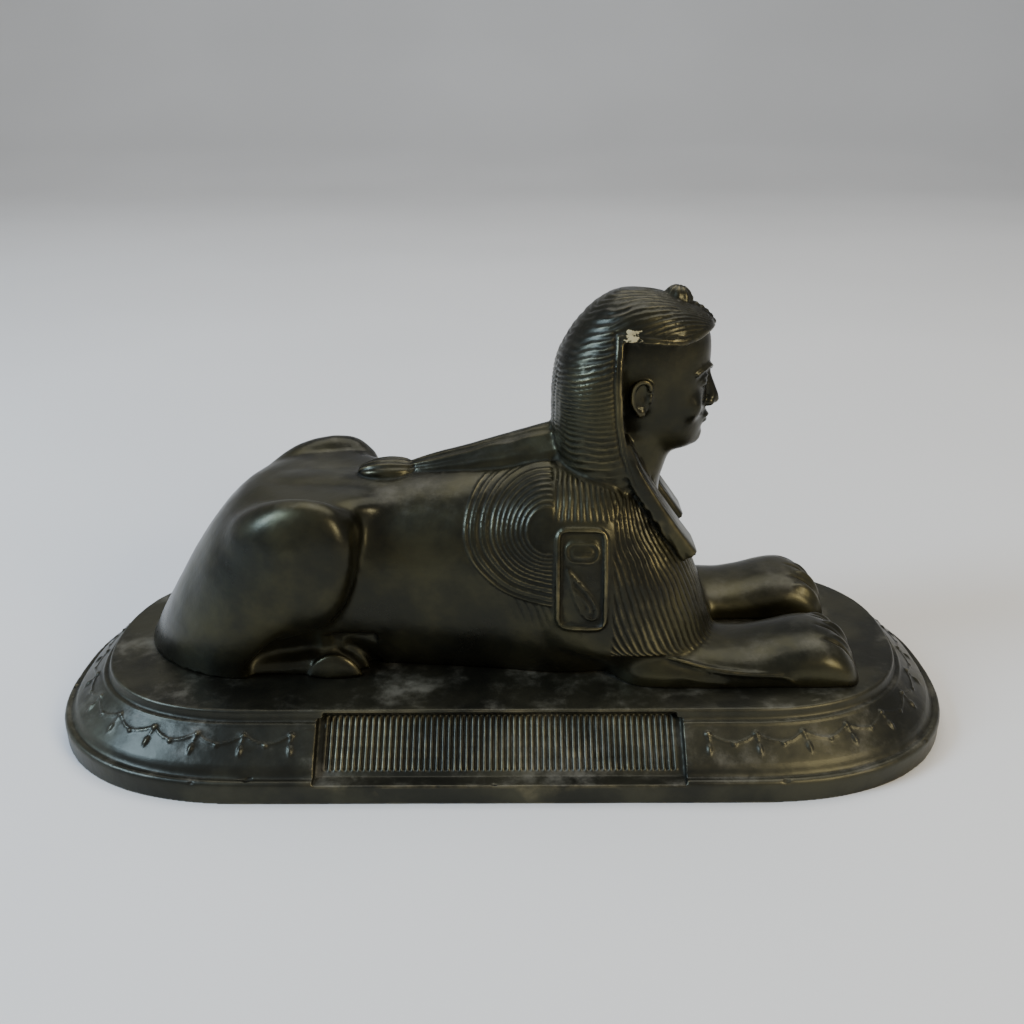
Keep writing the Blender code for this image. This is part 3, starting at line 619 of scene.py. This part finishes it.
def add_leg_ridges(bm, side):
    """Add the two tendon ridges along the outside of a foreleg."""
    upper = curve_through([(38.0, 26.8, 25.4), (44.0, 27.9, 24.0), (51.3, 28.4, 22.2), (60.0, 28.6, 21.1),
                           (67.8, 28.7, 20.8), (71.0, 28.8, 19.6), (72.6, 28.8, 17.9)])
    lower = curve_through([(40.5, 28.3, 21.6), (46.0, 28.9, 20.1), (50.0, 28.9, 19.2), (57.5, 28.8, 18.6)])
    for path, radius in ((upper, 0.95), (lower, 0.7)):
        count = len(path)
        radii = [radius * min(1.0, 0.35 + 4 * min(i, count - 1 - i) / count) for i in range(count)]
        add_tube(bm, [(p.x, side * (p.y - 0.25), p.z) for p in path], radii)


def waves(phase):
    """Return a wave between 0 and 1 with a crest at each whole number."""
    return 0.5 + 0.5 * np.cos(2 * math.pi * phase)


def carve_cloth(points, warp, fine):
    """Return where the headcloth lies and the push of its strands and border."""
    x, y, z = points.T
    cloth = form_value(CLOTH, x, y, z)
    edge = np.interp(z, [57.0, 66.1, 73.7, 81.1, 90.7, 99.3], [37.5, 33.0, 30.2, 28.9, 28.2, 28.6])
    shelf = np.interp(x, [28.6, 35.0, 42.5, 46.0, 50.0, 64.0], [99.3, 98.9, 98.1, 98.7, 100.2, 101.4])
    outside = np.maximum(edge - x, z - shelf)
    on_cloth = ramp(cloth, 0.93, 0.965) * ramp(-cloth, -1.12, -1.06) * ramp(z, 57.0, 60.0)
    on_cloth *= 1.0 - hump(y, 7.5) * ramp(-x, -17.0, -12.0) * ramp(-z, -78.5, -76.0)
    lean = 0.5 * ramp(z, 76.0, 94.0)
    high = z - 84.0 - lean * (x - 28.0)
    round_ = np.sqrt(y ** 2 + np.maximum(0.0, 30.0 - x) ** 2)
    strand = 15.8 * np.arctan2(high, round_ + 0.4) / 1.12 + 0.2 * warp + 0.05 * fine
    grooves = waves(strand)
    knob = hump(np.hypot(x - 43.0, y), 4.6)
    depth = 0.2 + 0.05 * fine + 0.05 * warp
    push = -on_cloth * ramp(outside, 1.5, 2.2) * (1 - knob) * depth * grooves
    push -= on_cloth * 0.32 * hump(outside - 1.75, 0.34) * ramp(z, 66.0, 72.0) * (1 - ramp(x, 44.0, 49.0))
    push -= on_cloth * 0.15 * hump(outside - 0.75, 0.22) * (1 - ramp(x, 40.0, 44.0))
    return on_cloth, push


def carve_lappets(points, warp):
    """Return where the lappets lie, how far points stand ahead of them and the push of their stripes."""
    x, y, z = points.T
    wide = np.abs(y)
    middle = np.interp(z, [46.9, 52.7, 59.4, 66.4, 75.0], [44.6, 40.7, 36.5, 32.4, 28.2])
    centre = np.interp(z, [46.9, 59.4, 75.0], [11.0, 11.6, 12.2])
    ahead = (x - middle) * 0.86
    on_lappet = ramp(ahead, 0.9, 1.5) * ramp(-ahead, -3.6, -2.8)
    on_lappet *= ramp(z, 45.4, 46.4) * ramp(-z, -76.0, -72.0)
    on_lappet *= ramp(wide, 5.4, 6.2) * ramp(-wide, -17.4, -16.4)
    return on_lappet, ahead, -0.34 * on_lappet * waves((wide - centre) / 1.55 + 0.12 * warp)


def carve_mane(points, warp, fine, on_cloth, on_lappet, ahead):
    """Return the push of the mane's strands on the chest and over the shoulder."""
    x, y, z = points.T
    wide = np.abs(y)
    back, front, half = column(CHEST, 1, z), column(CHEST, 2, z), column(CHEST, 3, z)
    turn = np.arctan2(wide / half, (x - (back + front) / 2) / ((front - back) / 2))
    chest = form_value(CHEST, x, y, z)
    under = ahead * ramp(z, 46.0, 48.0) * (wide < 17.0)
    on_chest = ramp(chest, 0.90, 0.94) * ramp(-chest, -1.14, -1.08)
    on_chest *= ramp(z, 25.2, 26.6) * ramp(-z, -66.0, -60.0)
    on_chest *= ramp(x, 26.4, 27.4) * (1 - on_lappet) * ramp(-under, -1.6, -1.0)
    lines = waves(turn * 27.0 / 1.75 + 0.16 * warp + 0.05 * fine)
    push = -on_chest * (0.34 + 0.08 * fine) * lines ** 1.4
    on_top = ramp(wide, 11.0, 15.0) * ramp(x, 12.6, 13.6) * ramp(z, 59.0, 60.0) * ramp(-x, -31.0, -27.5)
    on_top *= (1 - on_cloth) * ramp(-z, -70.2, -68.8) * (1 - on_lappet)
    fan = (x - 19.0) * (1 + 0.035 * (z - 60.0)) / 1.5 + 0.12 * warp
    return push - 0.3 * on_top * waves(fan)


def carve_arcs(points, warp, on_cloth):
    """Return the push of the ring lines behind the shoulder and of the short strands below them."""
    x, y, z = points.T
    wide = np.abs(y)
    height = z + np.maximum(0.0, 22.0 - wide) * 0.55 - ARC_CENTRE[1]
    ahead_of = (x - ARC_CENTRE[0]) / ARC_REACH
    swing = np.where(height < 0, height / ARC_DROP, height / ARC_RISE)
    radius = np.hypot(ahead_of, swing) + 0.006 * warp
    on_flank = ramp(-x, -12.9, -12.3) * ramp(wide, 6.5, 8.5) * (z > 30) * ramp(x, -12.0, -9.0)
    on_flank *= 1 - on_cloth
    push = np.zeros(len(x))
    for place in ARC_LINES:
        gain = 0.27 if place > 0.5 else 0.2
        push += on_flank * gain * hump((radius - place) * 18.0, 0.42)
        push -= on_flank * 0.12 * hump((radius - place - 0.026) * 18.0, 0.34)
    fringe = ramp(radius, 1.02, 1.06) * ramp(-radius, -1.5, -1.2) * ramp(-z, -44.0, -40.0)
    fringe *= ramp(x, 0.0, 5.0) * ramp(-x, -13.0, -12.0) * (wide > 10)
    return push - 0.16 * fringe * waves((x - 0.35 * (40.0 - z)) / 1.9 + 0.3 * warp) ** 2


def carve_hair(points, warp):
    """Return the push on the lock down the back, its tuft and the knob and crest over the brow."""
    x, y, z = points.T
    wide = np.abs(y)
    half_lock = column(QUEUE, 1, x)
    on_lock = ramp(x, -23.5, -21.0) * ramp(-x, -15.0, -13.0) * ramp(-wide / half_lock, -1.12, -1.0)
    on_lock *= ramp(z, 63.5, 65.0)
    locks = waves(3.0 * wide / half_lock + 0.2 * warp)
    push = -0.26 * on_lock * locks * ramp(wide / half_lock, 0.06, 0.2)
    tuft = np.sqrt(((x + 28.0) / 7.7) ** 2 + (y / 4.7) ** 2 + ((z - 63.9) / 2.9) ** 2)
    half_tuft = np.sqrt(np.maximum(1.0, 23.0 - 0.36 * (x + 28.0) ** 2))
    push -= 0.3 * ramp(-tuft, -1.25, -1.1) * ramp(z, 62.6, 63.4) * waves(2.6 * wide / half_tuft)
    on_knob = ramp(-np.hypot(x - 42.5, np.hypot(y, z - 106.4)), -4.1, -3.6) * ramp(z, 105.0, 106.0)
    push -= on_knob * 0.22 * (0.5 + 0.5 * np.cos(9.0 * np.arctan2(y, x - 42.5)))
    on_crest = hump(y, 2.6) * ramp(x, 44.5, 46.0) * ramp(z, 99.5, 100.5)
    return push - 0.2 * on_crest * waves((x - z) / 2.3)


def carve_toes(points):
    """Return the push of the grooves between the toes."""
    x, y, z = points.T
    wide = np.abs(y)
    push = np.zeros(len(x))
    for place in (12.6, 16.5, 20.3):
        on_hind = ramp(x, -45.0, -41.0) * ramp(-x, 30.0, 31.0) * ramp(-z, -28.5, -27.5)
        push -= 1.0 * on_hind * hump(wide - place, 0.55)
    for place in (11.1, 17.0, 22.9):
        on_fore = ramp(x, 77.0, 83.0) * ramp(-z, -29.5, -28.5)
        push -= 0.8 * on_fore * hump(wide - place, 0.6)
    return push


def carve_cartouche(points):
    """Return the push that sinks the cartouche's field and raises the middle of its loop."""
    x, y, z = points.T
    left, right, low, top = CARTOUCHE
    inset = np.minimum(np.minimum(x - left, right - x), np.minimum(z - low, top - z))
    field = ramp(inset, 0.3, 1.0) * (np.abs(y) > 20)
    return field * (0.5 * hump(np.hypot(x - 19.5, (z - 51.9) * 1.9), 2.4) - 0.35)


def carve(points):
    """Return how far the fine carving moves each point."""
    warp = drift(points, 9.0, 3)
    fine = drift(points, 3.2, 5)
    on_cloth, push = carve_cloth(points, warp, fine)
    on_lappet, ahead, stripes = carve_lappets(points, warp)
    push += stripes + carve_mane(points, warp, fine, on_cloth, on_lappet, ahead)
    push += carve_arcs(points, warp, on_cloth) + carve_hair(points, warp)
    return push + carve_toes(points) + carve_cartouche(points)


def stepped_mane(points, normals):
    """Return the push that makes the mane's lower edge stand over the forelegs."""
    x, y, z = points.T
    wide = np.abs(y)
    under = ramp(-z, -26.2, -25.2) * ramp(z, 20.0, 24.6) * ramp(x, 24.0, 30.0) * ramp(-x, -56.0, -50.0)
    steep = 1 - np.clip(normals[:, 2], 0, 1)
    return -0.7 * under * steep * (wide > 6)


def neighbours(item):
    """Return the mesh's edges as two index arrays."""
    edges = np.empty(len(item.data.edges) * 2, dtype=np.int64)
    item.data.edges.foreach_get("vertices", edges)
    return edges.reshape(-1, 2).T


def relaxed(points, edges, rounds):
    """Return the points after simple averaging with their neighbours."""
    a, b = edges
    count = len(points)
    degree = np.bincount(a, minlength=count) + np.bincount(b, minlength=count)
    moved = points.copy()
    for _ in range(rounds):
        total = np.empty_like(moved)
        for k in range(3):
            total[:, k] = (np.bincount(a, weights=moved[b, k], minlength=count)
                           + np.bincount(b, weights=moved[a, k], minlength=count))
        moved = 0.5 * moved + 0.5 * total / np.maximum(degree, 1)[:, None]
    return moved


def relief_of(item):
    """Return how far each point stands proud of the eased surface, at a fine and at a broad scale."""
    points, normals = points_of(item)
    edges = neighbours(item)
    near = relaxed(points, edges, 6)
    far = relaxed(near, edges, 40)
    fine = ((points - near) * normals).sum(axis=1)
    broad = ((near - far) * normals).sum(axis=1)
    return fine, broad


def give_attribute(item, name, values):
    """Store one number for each point of the mesh."""
    layer = item.data.attributes.new(name, "FLOAT", "POINT")
    layer.data.foreach_set("value", values.astype(np.float32))


def transfer(points, item, columns):
    """Read values that belong to the points at the vertices of the object."""
    tree = KDTree(len(points))
    for i, point in enumerate(points):
        tree.insert(point, i)
    tree.balance()
    target, _ = points_of(item)
    nearest = np.array([tree.find(point)[1] for point in target])
    return [values[nearest] for values in columns]


def thin_out(item, triangles):
    """Reduce the mesh to about the given number of triangles."""
    item.data.calc_loop_triangles()
    have = len(item.data.loop_triangles)
    if have > triangles:
        less = item.modifiers.new("thin", "DECIMATE")
        less.ratio = triangles / have
        bake(item)


def flatten_below(item, height):
    """Cut the mesh off level at the height and close it."""
    bm = bmesh.new()
    bm.from_mesh(item.data)
    whole = list(bm.verts) + list(bm.edges) + list(bm.faces)
    cut = bmesh.ops.bisect_plane(
        bm, geom=whole, plane_co=(0, 0, height), plane_no=(0, 0, 1), clear_inner=True, dist=1e-5)
    rim = [edge for edge in cut["geom_cut"] if isinstance(edge, bmesh.types.BMEdge)]
    bmesh.ops.holes_fill(bm, edges=rim, sides=0)
    bmesh.ops.triangulate(bm, faces=[face for face in bm.faces if len(face.verts) > 4])
    bm.to_mesh(item.data)
    bm.free()


def finish_casting(item, name, triangles, level=None):
    """Thin the dense mesh, keep its relief as attributes and put it in metres on the frame."""
    fine, broad = relief_of(item)
    points, _ = points_of(item)
    x, _, z = points.T
    fine *= 1 - 0.75 * ramp(x, 30.0, 32.0) * ramp(z, 69.0, 71.0) * ramp(-z, -98.5, -97.0)
    thin_out(item, triangles)
    if level is not None:
        flatten_below(item, level)
    fine, broad = transfer(points, item, (fine, broad))
    give_attribute(item, "fine_relief", fine)
    give_attribute(item, "broad_relief", broad)
    item.data.transform(Matrix.Scale(MM, 4))
    item.data.shade_smooth()
    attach(item, "root")
    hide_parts(name)


def make_sphinx():
    """Return the sphinx: soft body, crisp details, fine carving."""
    body = object_from(soft_forms(), "sphinx_casting")
    fuse(body, BODY_VOXEL, 11, refine=True)
    shape_body(body)
    skin = bmesh.new()
    skin.from_mesh(body.data)
    surface = BVHTree.FromBMesh(skin)
    skin.free()
    detail = bmesh.new()
    add_headcloth(detail)
    add_lengthwise(detail, both_halves(QUEUE, 1))
    add_ellipsoid(detail, *TUFT_FORM)
    for centre, axes, tilt in URAEUS_FORMS:
        add_ellipsoid(detail, centre, axes, tilt)
    add_face(detail)
    for side in (1, -1):
        add_loft(detail, lappet_rings(side))
        add_toes(detail, FORE_TOES, 8.0, 3.3, side)
        add_toes(detail, HIND_TOES, 7.5, 2.1, side)
        add_cartouche(detail, surface, side)
        add_leg_ridges(detail, side)
    detail.from_mesh(body.data)
    detail.to_mesh(body.data)
    detail.free()
    fuse(body, FIGURE_VOXEL, 3)
    points, normals = points_of(body)
    put_points(body, points + normals * stepped_mane(points, normals)[:, None])
    points, normals = points_of(body)
    push = carve(points) + 0.05 * drift(points, 14.0, 11) + 0.02 * drift(points, 4.0, 12)
    put_points(body, points + normals * push[:, None])
    finish_casting(body, "sphinx", SPHINX_TRIANGLES, SEAT)
    return body


def plinth_outline(inset, height):
    """Return one level of the plinth: straight sides with full rounded ends."""
    half_length = PLINTH_LENGTH / 2 - inset
    half_width = PLINTH_WIDTH / 2 - inset
    reach = END_REACH * half_width
    points = []
    for end in (1, -1):
        for i in range(END_STEPS + 1):
            turn = end * math.pi * (i / END_STEPS - 0.5)
            x = signed_power(math.cos(turn), 2 / END_FULLNESS) * reach + half_length - reach
            y = signed_power(math.sin(turn), 2 / END_FULLNESS) * half_width
            points.append(Vector((end * x, y, height)))
    return points


def frieze_frame():
    """Return a point on the panel plane, the slope up the panel and its outward normal, as (y, z)."""
    rise = Vector((FRIEZE_LOW[0] - FRIEZE_HIGH[0], FRIEZE_HIGH[1] - FRIEZE_LOW[1])).normalized()
    normal = Vector((rise.y, -rise.x))
    point = Vector((PLINTH_WIDTH / 2 - FRIEZE_LOW[0], FRIEZE_LOW[1])) - normal * PANEL_RECESS
    return point, rise, normal


def panel_cutter(side):
    """Return the cutter of a recessed panel on one long side."""
    point, rise, _ = frieze_frame()
    at_bottom = point + rise * ((PANEL_BOTTOM - point.y) / rise.y)
    at_top = point + rise * ((PANEL_TOP - point.y) / rise.y)
    reach = PLINTH_WIDTH / 2 + 4.0
    outline = [(reach, PANEL_BOTTOM), tuple(at_bottom), tuple(at_top), (reach, PANEL_TOP)]
    points = [Vector((-PANEL_LENGTH / 2, side * y, z)) for y, z in outline]
    return prism("panel_cutter", points, Vector((PANEL_LENGTH, 0, 0)))


def rib_field():
    """Return the lower and upper end of the ribs and the panel's normal, as (y, z)."""
    point, rise, normal = frieze_frame()
    start = point + rise * ((PANEL_BOTTOM + PANEL_BORDER * rise.y - point.y) / rise.y)
    end = point + rise * ((PANEL_TOP - PANEL_BORDER * rise.y - point.y) / rise.y)
    return start, end, normal


def add_ribs(bm, side):
    """Add the rounded ribs of one panel inside their narrow border."""
    start, end, normal = rib_field()
    ribbed = PANEL_LENGTH - 2 * PANEL_BORDER
    pitch = ribbed / RIB_COUNT
    for i in range(RIB_COUNT):
        x = -ribbed / 2 + pitch * (i + 0.5)
        rings = []
        for place in (start, start.lerp(end, 0.5), end):
            out = Vector((0, side * normal.x, normal.y))
            centre = Vector((x, side * place.x, place.y)) - out * 0.55
            rings.append(section(centre, Vector((pitch * 0.36, 0, 0)), out * RIB_DEPTH, 2.4, 12))
        add_loft(bm, rings)


def rib_trough(side):
    """Return the cutter that sinks the ribbed field below its border."""
    start, end, normal = rib_field()
    half = PANEL_LENGTH / 2 - PANEL_BORDER
    outline = [start - normal * RIB_DEPTH, end - normal * RIB_DEPTH, end + normal * 3.0, start + normal * 3.0]
    points = [Vector((-half, side * p.x, p.y)) for p in outline]
    return prism("rib_trough", points, Vector((2 * half, 0, 0)))


def frieze_place(end, distance, share):
    """Return a point on one end's frieze, by its shares along the frieze and up its slope."""
    rows = []
    inset = 3.4 + 7.2 * share
    height = 8.0 + 6.17 * share
    half_length, half_width = PLINTH_LENGTH / 2 - inset, PLINTH_WIDTH / 2 - inset
    reach = END_REACH * half_width
    start = PANEL_LENGTH / 2
    rows.append(Vector((start, half_width, height)))
    steps = 160
    for i in range(steps + 1):
        turn = math.pi * (0.5 - i / steps)
        x = signed_power(math.cos(turn), 2 / END_FULLNESS) * reach + half_length - reach
        y = signed_power(math.sin(turn), 2 / END_FULLNESS) * half_width
        rows.append(Vector((x, y, height)))
    rows.append(Vector((start, -half_width, height)))
    lengths = [0.0]
    for a, b in zip(rows, rows[1:]):
        lengths.append(lengths[-1] + (b - a).length)
    wanted = distance * lengths[-1]
    index = int(np.searchsorted(lengths, wanted, side="right")) - 1
    index = min(max(index, 0), len(rows) - 2)
    span = lengths[index + 1] - lengths[index]
    t = 0.0 if span == 0 else (wanted - lengths[index]) / span
    place = rows[index].lerp(rows[index + 1], t)
    return Vector((end * place.x, place.y, place.z))


def add_garland(bm, end):
    """Add the low festoon of one end: beads joined by thin lines, with hanging drops."""
    count = round((FRIEZE_RUN - 2 * GARLAND_START) / (GARLAND_PITCH / 2))
    nodes = []
    for i in range(count + 1):
        share = (GARLAND_START + (FRIEZE_RUN - 2 * GARLAND_START) * i / count) / FRIEZE_RUN
        upper = i % 2 == 1
        nodes.append((share, 0.80 if upper else 0.55, upper))
    for share, rise, upper in nodes:
        place = frieze_place(end, share, rise)
        seat = Matrix.Translation(place - Vector((0, 0, 0.3)))
        bmesh.ops.create_icosphere(bm, subdivisions=3, radius=0.8 if upper else 0.66, matrix=seat)
        if upper:
            top = frieze_place(end, share, 0.6)
            low = frieze_place(end, share + 0.002, 0.22)
            path = [top.lerp(low, k / 8) for k in range(9)]
            sunk = [p - Vector((0, 0, 0.3)) for p in path]
            add_tube(bm, sunk, [0.2, 0.42, 0.6, 0.7, 0.7, 0.62, 0.5, 0.34, 0.2])
            add_tube(bm, [place, top], 0.26)
    for (a, rise_a, _), (b, rise_b, _) in zip(nodes, nodes[1:]):
        path = []
        for k in range(9):
            t = k / 8
            sag = 0.05 * math.sin(math.pi * t)
            path.append(frieze_place(end, a + (b - a) * t, rise_a + (rise_b - rise_a) * t - sag))
        add_tube(bm, path, 0.27, count=8)


def make_plinth():
    """Return the plinth with its mouldings, ribbed panels and garland."""
    bm = bmesh.new()
    add_loft(bm, [plinth_outline(inset, height) for inset, height in PLINTH_PROFILE])
    plinth = object_from(bm, "plinth_casting")
    for side in (1, -1):
        cut_away(plinth, panel_cutter(side))
        cut_away(plinth, rib_trough(side))
    bm = bmesh.new()
    for side in (1, -1):
        add_ribs(bm, side)
    for end in (1, -1):
        add_garland(bm, end)
    bm.from_mesh(plinth.data)
    bm.to_mesh(plinth.data)
    bm.free()
    fuse(plinth, (PANEL_LENGTH - 2 * PANEL_BORDER) / RIB_COUNT / 5, 1)
    points, normals = points_of(plinth)
    x, y, z = points.T
    push = 0.05 * drift(points, 18.0, 21) + 0.02 * drift(points, 5.0, 22)
    top_edge = np.abs(normals[:, 2] - 0.7) < 0.3
    push -= 0.3 * ramp(drift(points, 5.5, 23), 0.9, 1.5) * top_edge * ramp(-np.abs(z - 5.4), -1.0, -0.4)
    points = points + normals * push[:, None]
    points[:, 0] = np.clip(points[:, 0], -PLINTH_LENGTH / 2, PLINTH_LENGTH / 2)
    points[:, 1] = np.clip(points[:, 1], -PLINTH_WIDTH / 2, PLINTH_WIDTH / 2)
    under = z < 0.25
    points[under, 2] = 0.0
    points[:, 2] = np.clip(points[:, 2], 0.0, DECK_HEIGHT)
    put_points(plinth, points)
    finish_casting(plinth, "plinth", PLINTH_TRIANGLES)
    return plinth


class Nodes:
    """One node material under construction."""

    def __init__(self, name):
        self.material = bpy.data.materials.new(name)
        self.material.use_nodes = True
        self.tree = self.material.node_tree
        self.shader = self.tree.nodes["Principled BSDF"]

    def add(self, kind, **settings):
        node = self.tree.nodes.new(kind)
        for key, value in settings.items():
            setattr(node, key, value)
        return node

    def put(self, socket, value):
        if isinstance(value, (int, float, tuple)):
            socket.default_value = value
        else:
            self.tree.links.new(value, socket)

    def maths(self, operation, a, b=0.0, clamp=False):
        node = self.add("ShaderNodeMath", operation=operation, use_clamp=clamp)
        self.put(node.inputs[0], a)
        self.put(node.inputs[1], b)
        return node.outputs[0]

    def rise(self, value, low, high):
        node = self.add("ShaderNodeMapRange", interpolation_type="SMOOTHSTEP")
        self.put(node.inputs["Value"], value)
        node.inputs["From Min"].default_value = low
        node.inputs["From Max"].default_value = high
        return node.outputs["Result"]

    def noise(self, scale, detail=4.0, roughness=0.55):
        node = self.add("ShaderNodeTexNoise")
        self.put(node.inputs["Vector"], self.add("ShaderNodeTexCoord").outputs["Object"])
        node.inputs["Scale"].default_value = scale
        node.inputs["Detail"].default_value = detail
        node.inputs["Roughness"].default_value = roughness
        return node.outputs["Fac"]

    def mix(self, share, a, b, kind="RGBA"):
        node = self.add("ShaderNodeMix", data_type=kind)
        self.put(node.inputs["Factor"], share)
        self.put(node.inputs["A"], a)
        self.put(node.inputs["B"], b)
        return node.outputs["Result"]

    def blend_value(self, share, a, b):
        return self.mix(share, a, b, "FLOAT")

    def attribute(self, name):
        return self.add("ShaderNodeAttribute", attribute_name=name).outputs["Fac"]


def bronze_material(name, dark, olive, worn, dust_amount, rough, chips=()):
    """Return patinated bronze: dark coat, worn metal on proud edges, dirt in the hollows and thin dust."""
    n = Nodes(name)
    fine = n.attribute("fine_relief")
    broad = n.attribute("broad_relief")
    cloud = n.noise(38.0, 5.0, 0.6)
    speck = n.noise(420.0, 3.0, 0.6)
    patch = n.noise(90.0, 6.0, 0.65)
    base = n.mix(n.rise(cloud, 0.38, 0.66), (*dark, 1.0), (*olive, 1.0))
    proud = n.maths("ADD", n.rise(fine, 0.02, 0.14), n.rise(broad, 0.12, 0.7), clamp=True)
    rub = n.maths("MULTIPLY", proud, n.rise(patch, 0.36, 0.70))
    sunk = n.rise(n.maths("MULTIPLY", fine, -1.0), 0.012, 0.09)
    base = n.mix(n.maths("MULTIPLY", rub, 0.5), base, (*worn, 1.0))
    base = n.mix(n.maths("MULTIPLY", sunk, 0.55), base, (0.008, 0.008, 0.006, 1.0))
    up = n.add("ShaderNodeNewGeometry")
    split = n.add("ShaderNodeSeparateXYZ")
    n.put(split.inputs[0], up.outputs["Normal"])
    level = n.rise(split.outputs["Z"], 0.35, 0.95)
    dusty = n.maths("MULTIPLY", level, n.rise(n.noise(60.0, 7.0, 0.7), 0.48, 0.74))
    dusty = n.maths("MULTIPLY", dusty, dust_amount)
    base = n.mix(dusty, base, (0.19, 0.18, 0.145, 1.0))
    chipped = 0.0
    for place, reach in chips:
        near = n.add("ShaderNodeVectorMath", operation="DISTANCE")
        n.put(near.inputs[0], n.add("ShaderNodeTexCoord").outputs["Object"])
        near.inputs[1].default_value = place
        spot = n.maths("SUBTRACT", reach, near.outputs["Value"])
        ragged = n.maths("MULTIPLY", n.maths("SUBTRACT", n.noise(900.0, 5.0, 0.6), 0.5), 0.006)
        chipped = n.maths("MAXIMUM", chipped, n.rise(n.maths("ADD", spot, ragged), 0.0, 0.00025))
    base = n.mix(chipped, base, (0.36, 0.31, 0.17, 1.0))
    n.put(n.shader.inputs["Base Color"], base)
    dusty = n.maths("MAXIMUM", dusty, n.maths("MULTIPLY", chipped, 0.8))
    metal = n.blend_value(rub, 0.82, 0.95)
    metal = n.blend_value(dusty, metal, 0.15)
    n.put(n.shader.inputs["Metallic"], metal)
    roughness = n.blend_value(n.rise(cloud, 0.3, 0.7), rough - 0.05, rough + 0.07)
    roughness = n.blend_value(n.maths("MULTIPLY", rub, 0.6), roughness, 0.30)
    roughness = n.blend_value(sunk, roughness, 0.62)
    roughness = n.blend_value(dusty, roughness, 0.8)
    n.put(n.shader.inputs["Roughness"], roughness)
    grain = n.maths("ADD", n.maths("MULTIPLY", speck, 0.5), n.maths("MULTIPLY", patch, 0.8))
    bump = n.add("ShaderNodeBump")
    bump.inputs["Strength"].default_value = 0.35
    bump.inputs["Distance"].default_value = 0.00025
    n.put(bump.inputs["Height"], grain)
    n.put(n.shader.inputs["Normal"], bump.outputs["Normal"])
    return n.material


def add_floor():
    """Add a pale floor that bends up into a backdrop."""
    bm = bmesh.new()
    rows = []
    for y, z in ((-1.6, 0.0), (1.2, 0.0), (1.5, 0.04), (1.7, 0.2), (1.8, 0.5), (1.8, 2.2)):
        rows.append([bm.verts.new((x, y, z)) for x in (-2.4, 2.4)])
    for low, high in zip(rows, rows[1:]):
        bm.faces.new((low[0], low[1], high[1], high[0]))
    floor = object_from(bm, "floor")
    floor.data.shade_smooth()
    n = Nodes("pale_floor")
    shade = n.mix(n.rise(n.noise(3.0, 2.0), 0.3, 0.7), (0.70, 0.69, 0.67, 1.0), (0.74, 0.73, 0.71, 1.0))
    n.put(n.shader.inputs["Base Color"], shade)
    n.shader.inputs["Roughness"].default_value = 0.75
    floor.data.materials.append(n.material)


def add_light(name, place, target, size, power, colour):
    """Add one soft light aimed at a point."""
    light = bpy.data.lights.new(name, "AREA")
    light.shape = "RECTANGLE"
    light.size, light.size_y = size
    light.energy = power
    light.color = colour
    item = bpy.data.objects.new(name, light)
    bpy.context.scene.collection.objects.link(item)
    item.location = place
    item.rotation_euler = (Vector(target) - Vector(place)).to_track_quat("-Z", "Y").to_euler()


def add_lights():
    """Add the soft studio light: a cool window side, a warm side and an even surround."""
    middle = (0.0, 0.0, 0.05)
    add_light("window_light", (-0.85, -0.30, 0.60), middle, (0.3, 0.45), 12.0, (0.55, 0.74, 1.0))
    add_light("warm_light", (0.62, -0.62, 0.50), middle, (0.25, 0.35), 5.0, (1.0, 0.86, 0.58))
    add_light("top_light", (0.1, 0.35, 1.1), middle, (1.2, 0.8), 8.0, (1.0, 0.98, 0.95))
    world = bpy.data.worlds.new("surround")
    world.use_nodes = True
    world.node_tree.nodes["Background"].inputs["Color"].default_value = (0.86, 0.87, 0.9, 1.0)
    world.node_tree.nodes["Background"].inputs["Strength"].default_value = 0.42
    bpy.context.scene.world = world


def add_camera():
    """Add the camera where the photograph was taken from."""
    yaw, pitch, roll = -0.00742, 0.41096, -0.00792
    ahead = Vector((math.sin(yaw) * math.cos(pitch), math.cos(yaw) * math.cos(pitch), -math.sin(pitch)))
    level = Vector((math.cos(yaw), -math.sin(yaw), 0.0))
    above = level.cross(ahead)
    right = math.cos(roll) * level + math.sin(roll) * above
    up = -math.sin(roll) * level + math.cos(roll) * above
    camera = bpy.data.objects.new("camera", bpy.data.cameras.new("camera"))
    camera.data.sensor_width = 36.0
    camera.data.lens = 36.1
    camera.data.clip_start = 0.005
    camera.matrix_world = Matrix((
        (right.x, up.x, -ahead.x, 0.00483), (right.y, up.y, -ahead.y, -0.24078),
        (right.z, up.z, -ahead.z, 0.15682), (0, 0, 0, 1)))
    bpy.context.scene.collection.objects.link(camera)
    bpy.context.scene.camera = camera


def main():
    """Build both castings with their materials, the floor, the lights and the camera."""
    plinth = make_plinth()
    plinth.data.materials.clear()
    plinth.data.materials.append(bronze_material(
        "plinth_bronze", (0.024, 0.024, 0.018), (0.050, 0.048, 0.031), (0.30, 0.26, 0.15), 0.55, 0.38))
    sphinx = make_sphinx()
    sphinx.data.materials.clear()
    sphinx.data.materials.append(bronze_material(
        "sphinx_bronze", (0.020, 0.020, 0.014), (0.046, 0.043, 0.022), (0.30, 0.25, 0.12), 0.24, 0.31,
        [((0.0250, side * 0.0150, 0.1005), 0.0022) for side in (1, -1)]
        + [((0.0305, side * 0.0142, 0.1008), 0.0017) for side in (1, -1)]))
    add_floor()
    add_lights()
    add_camera()


main()
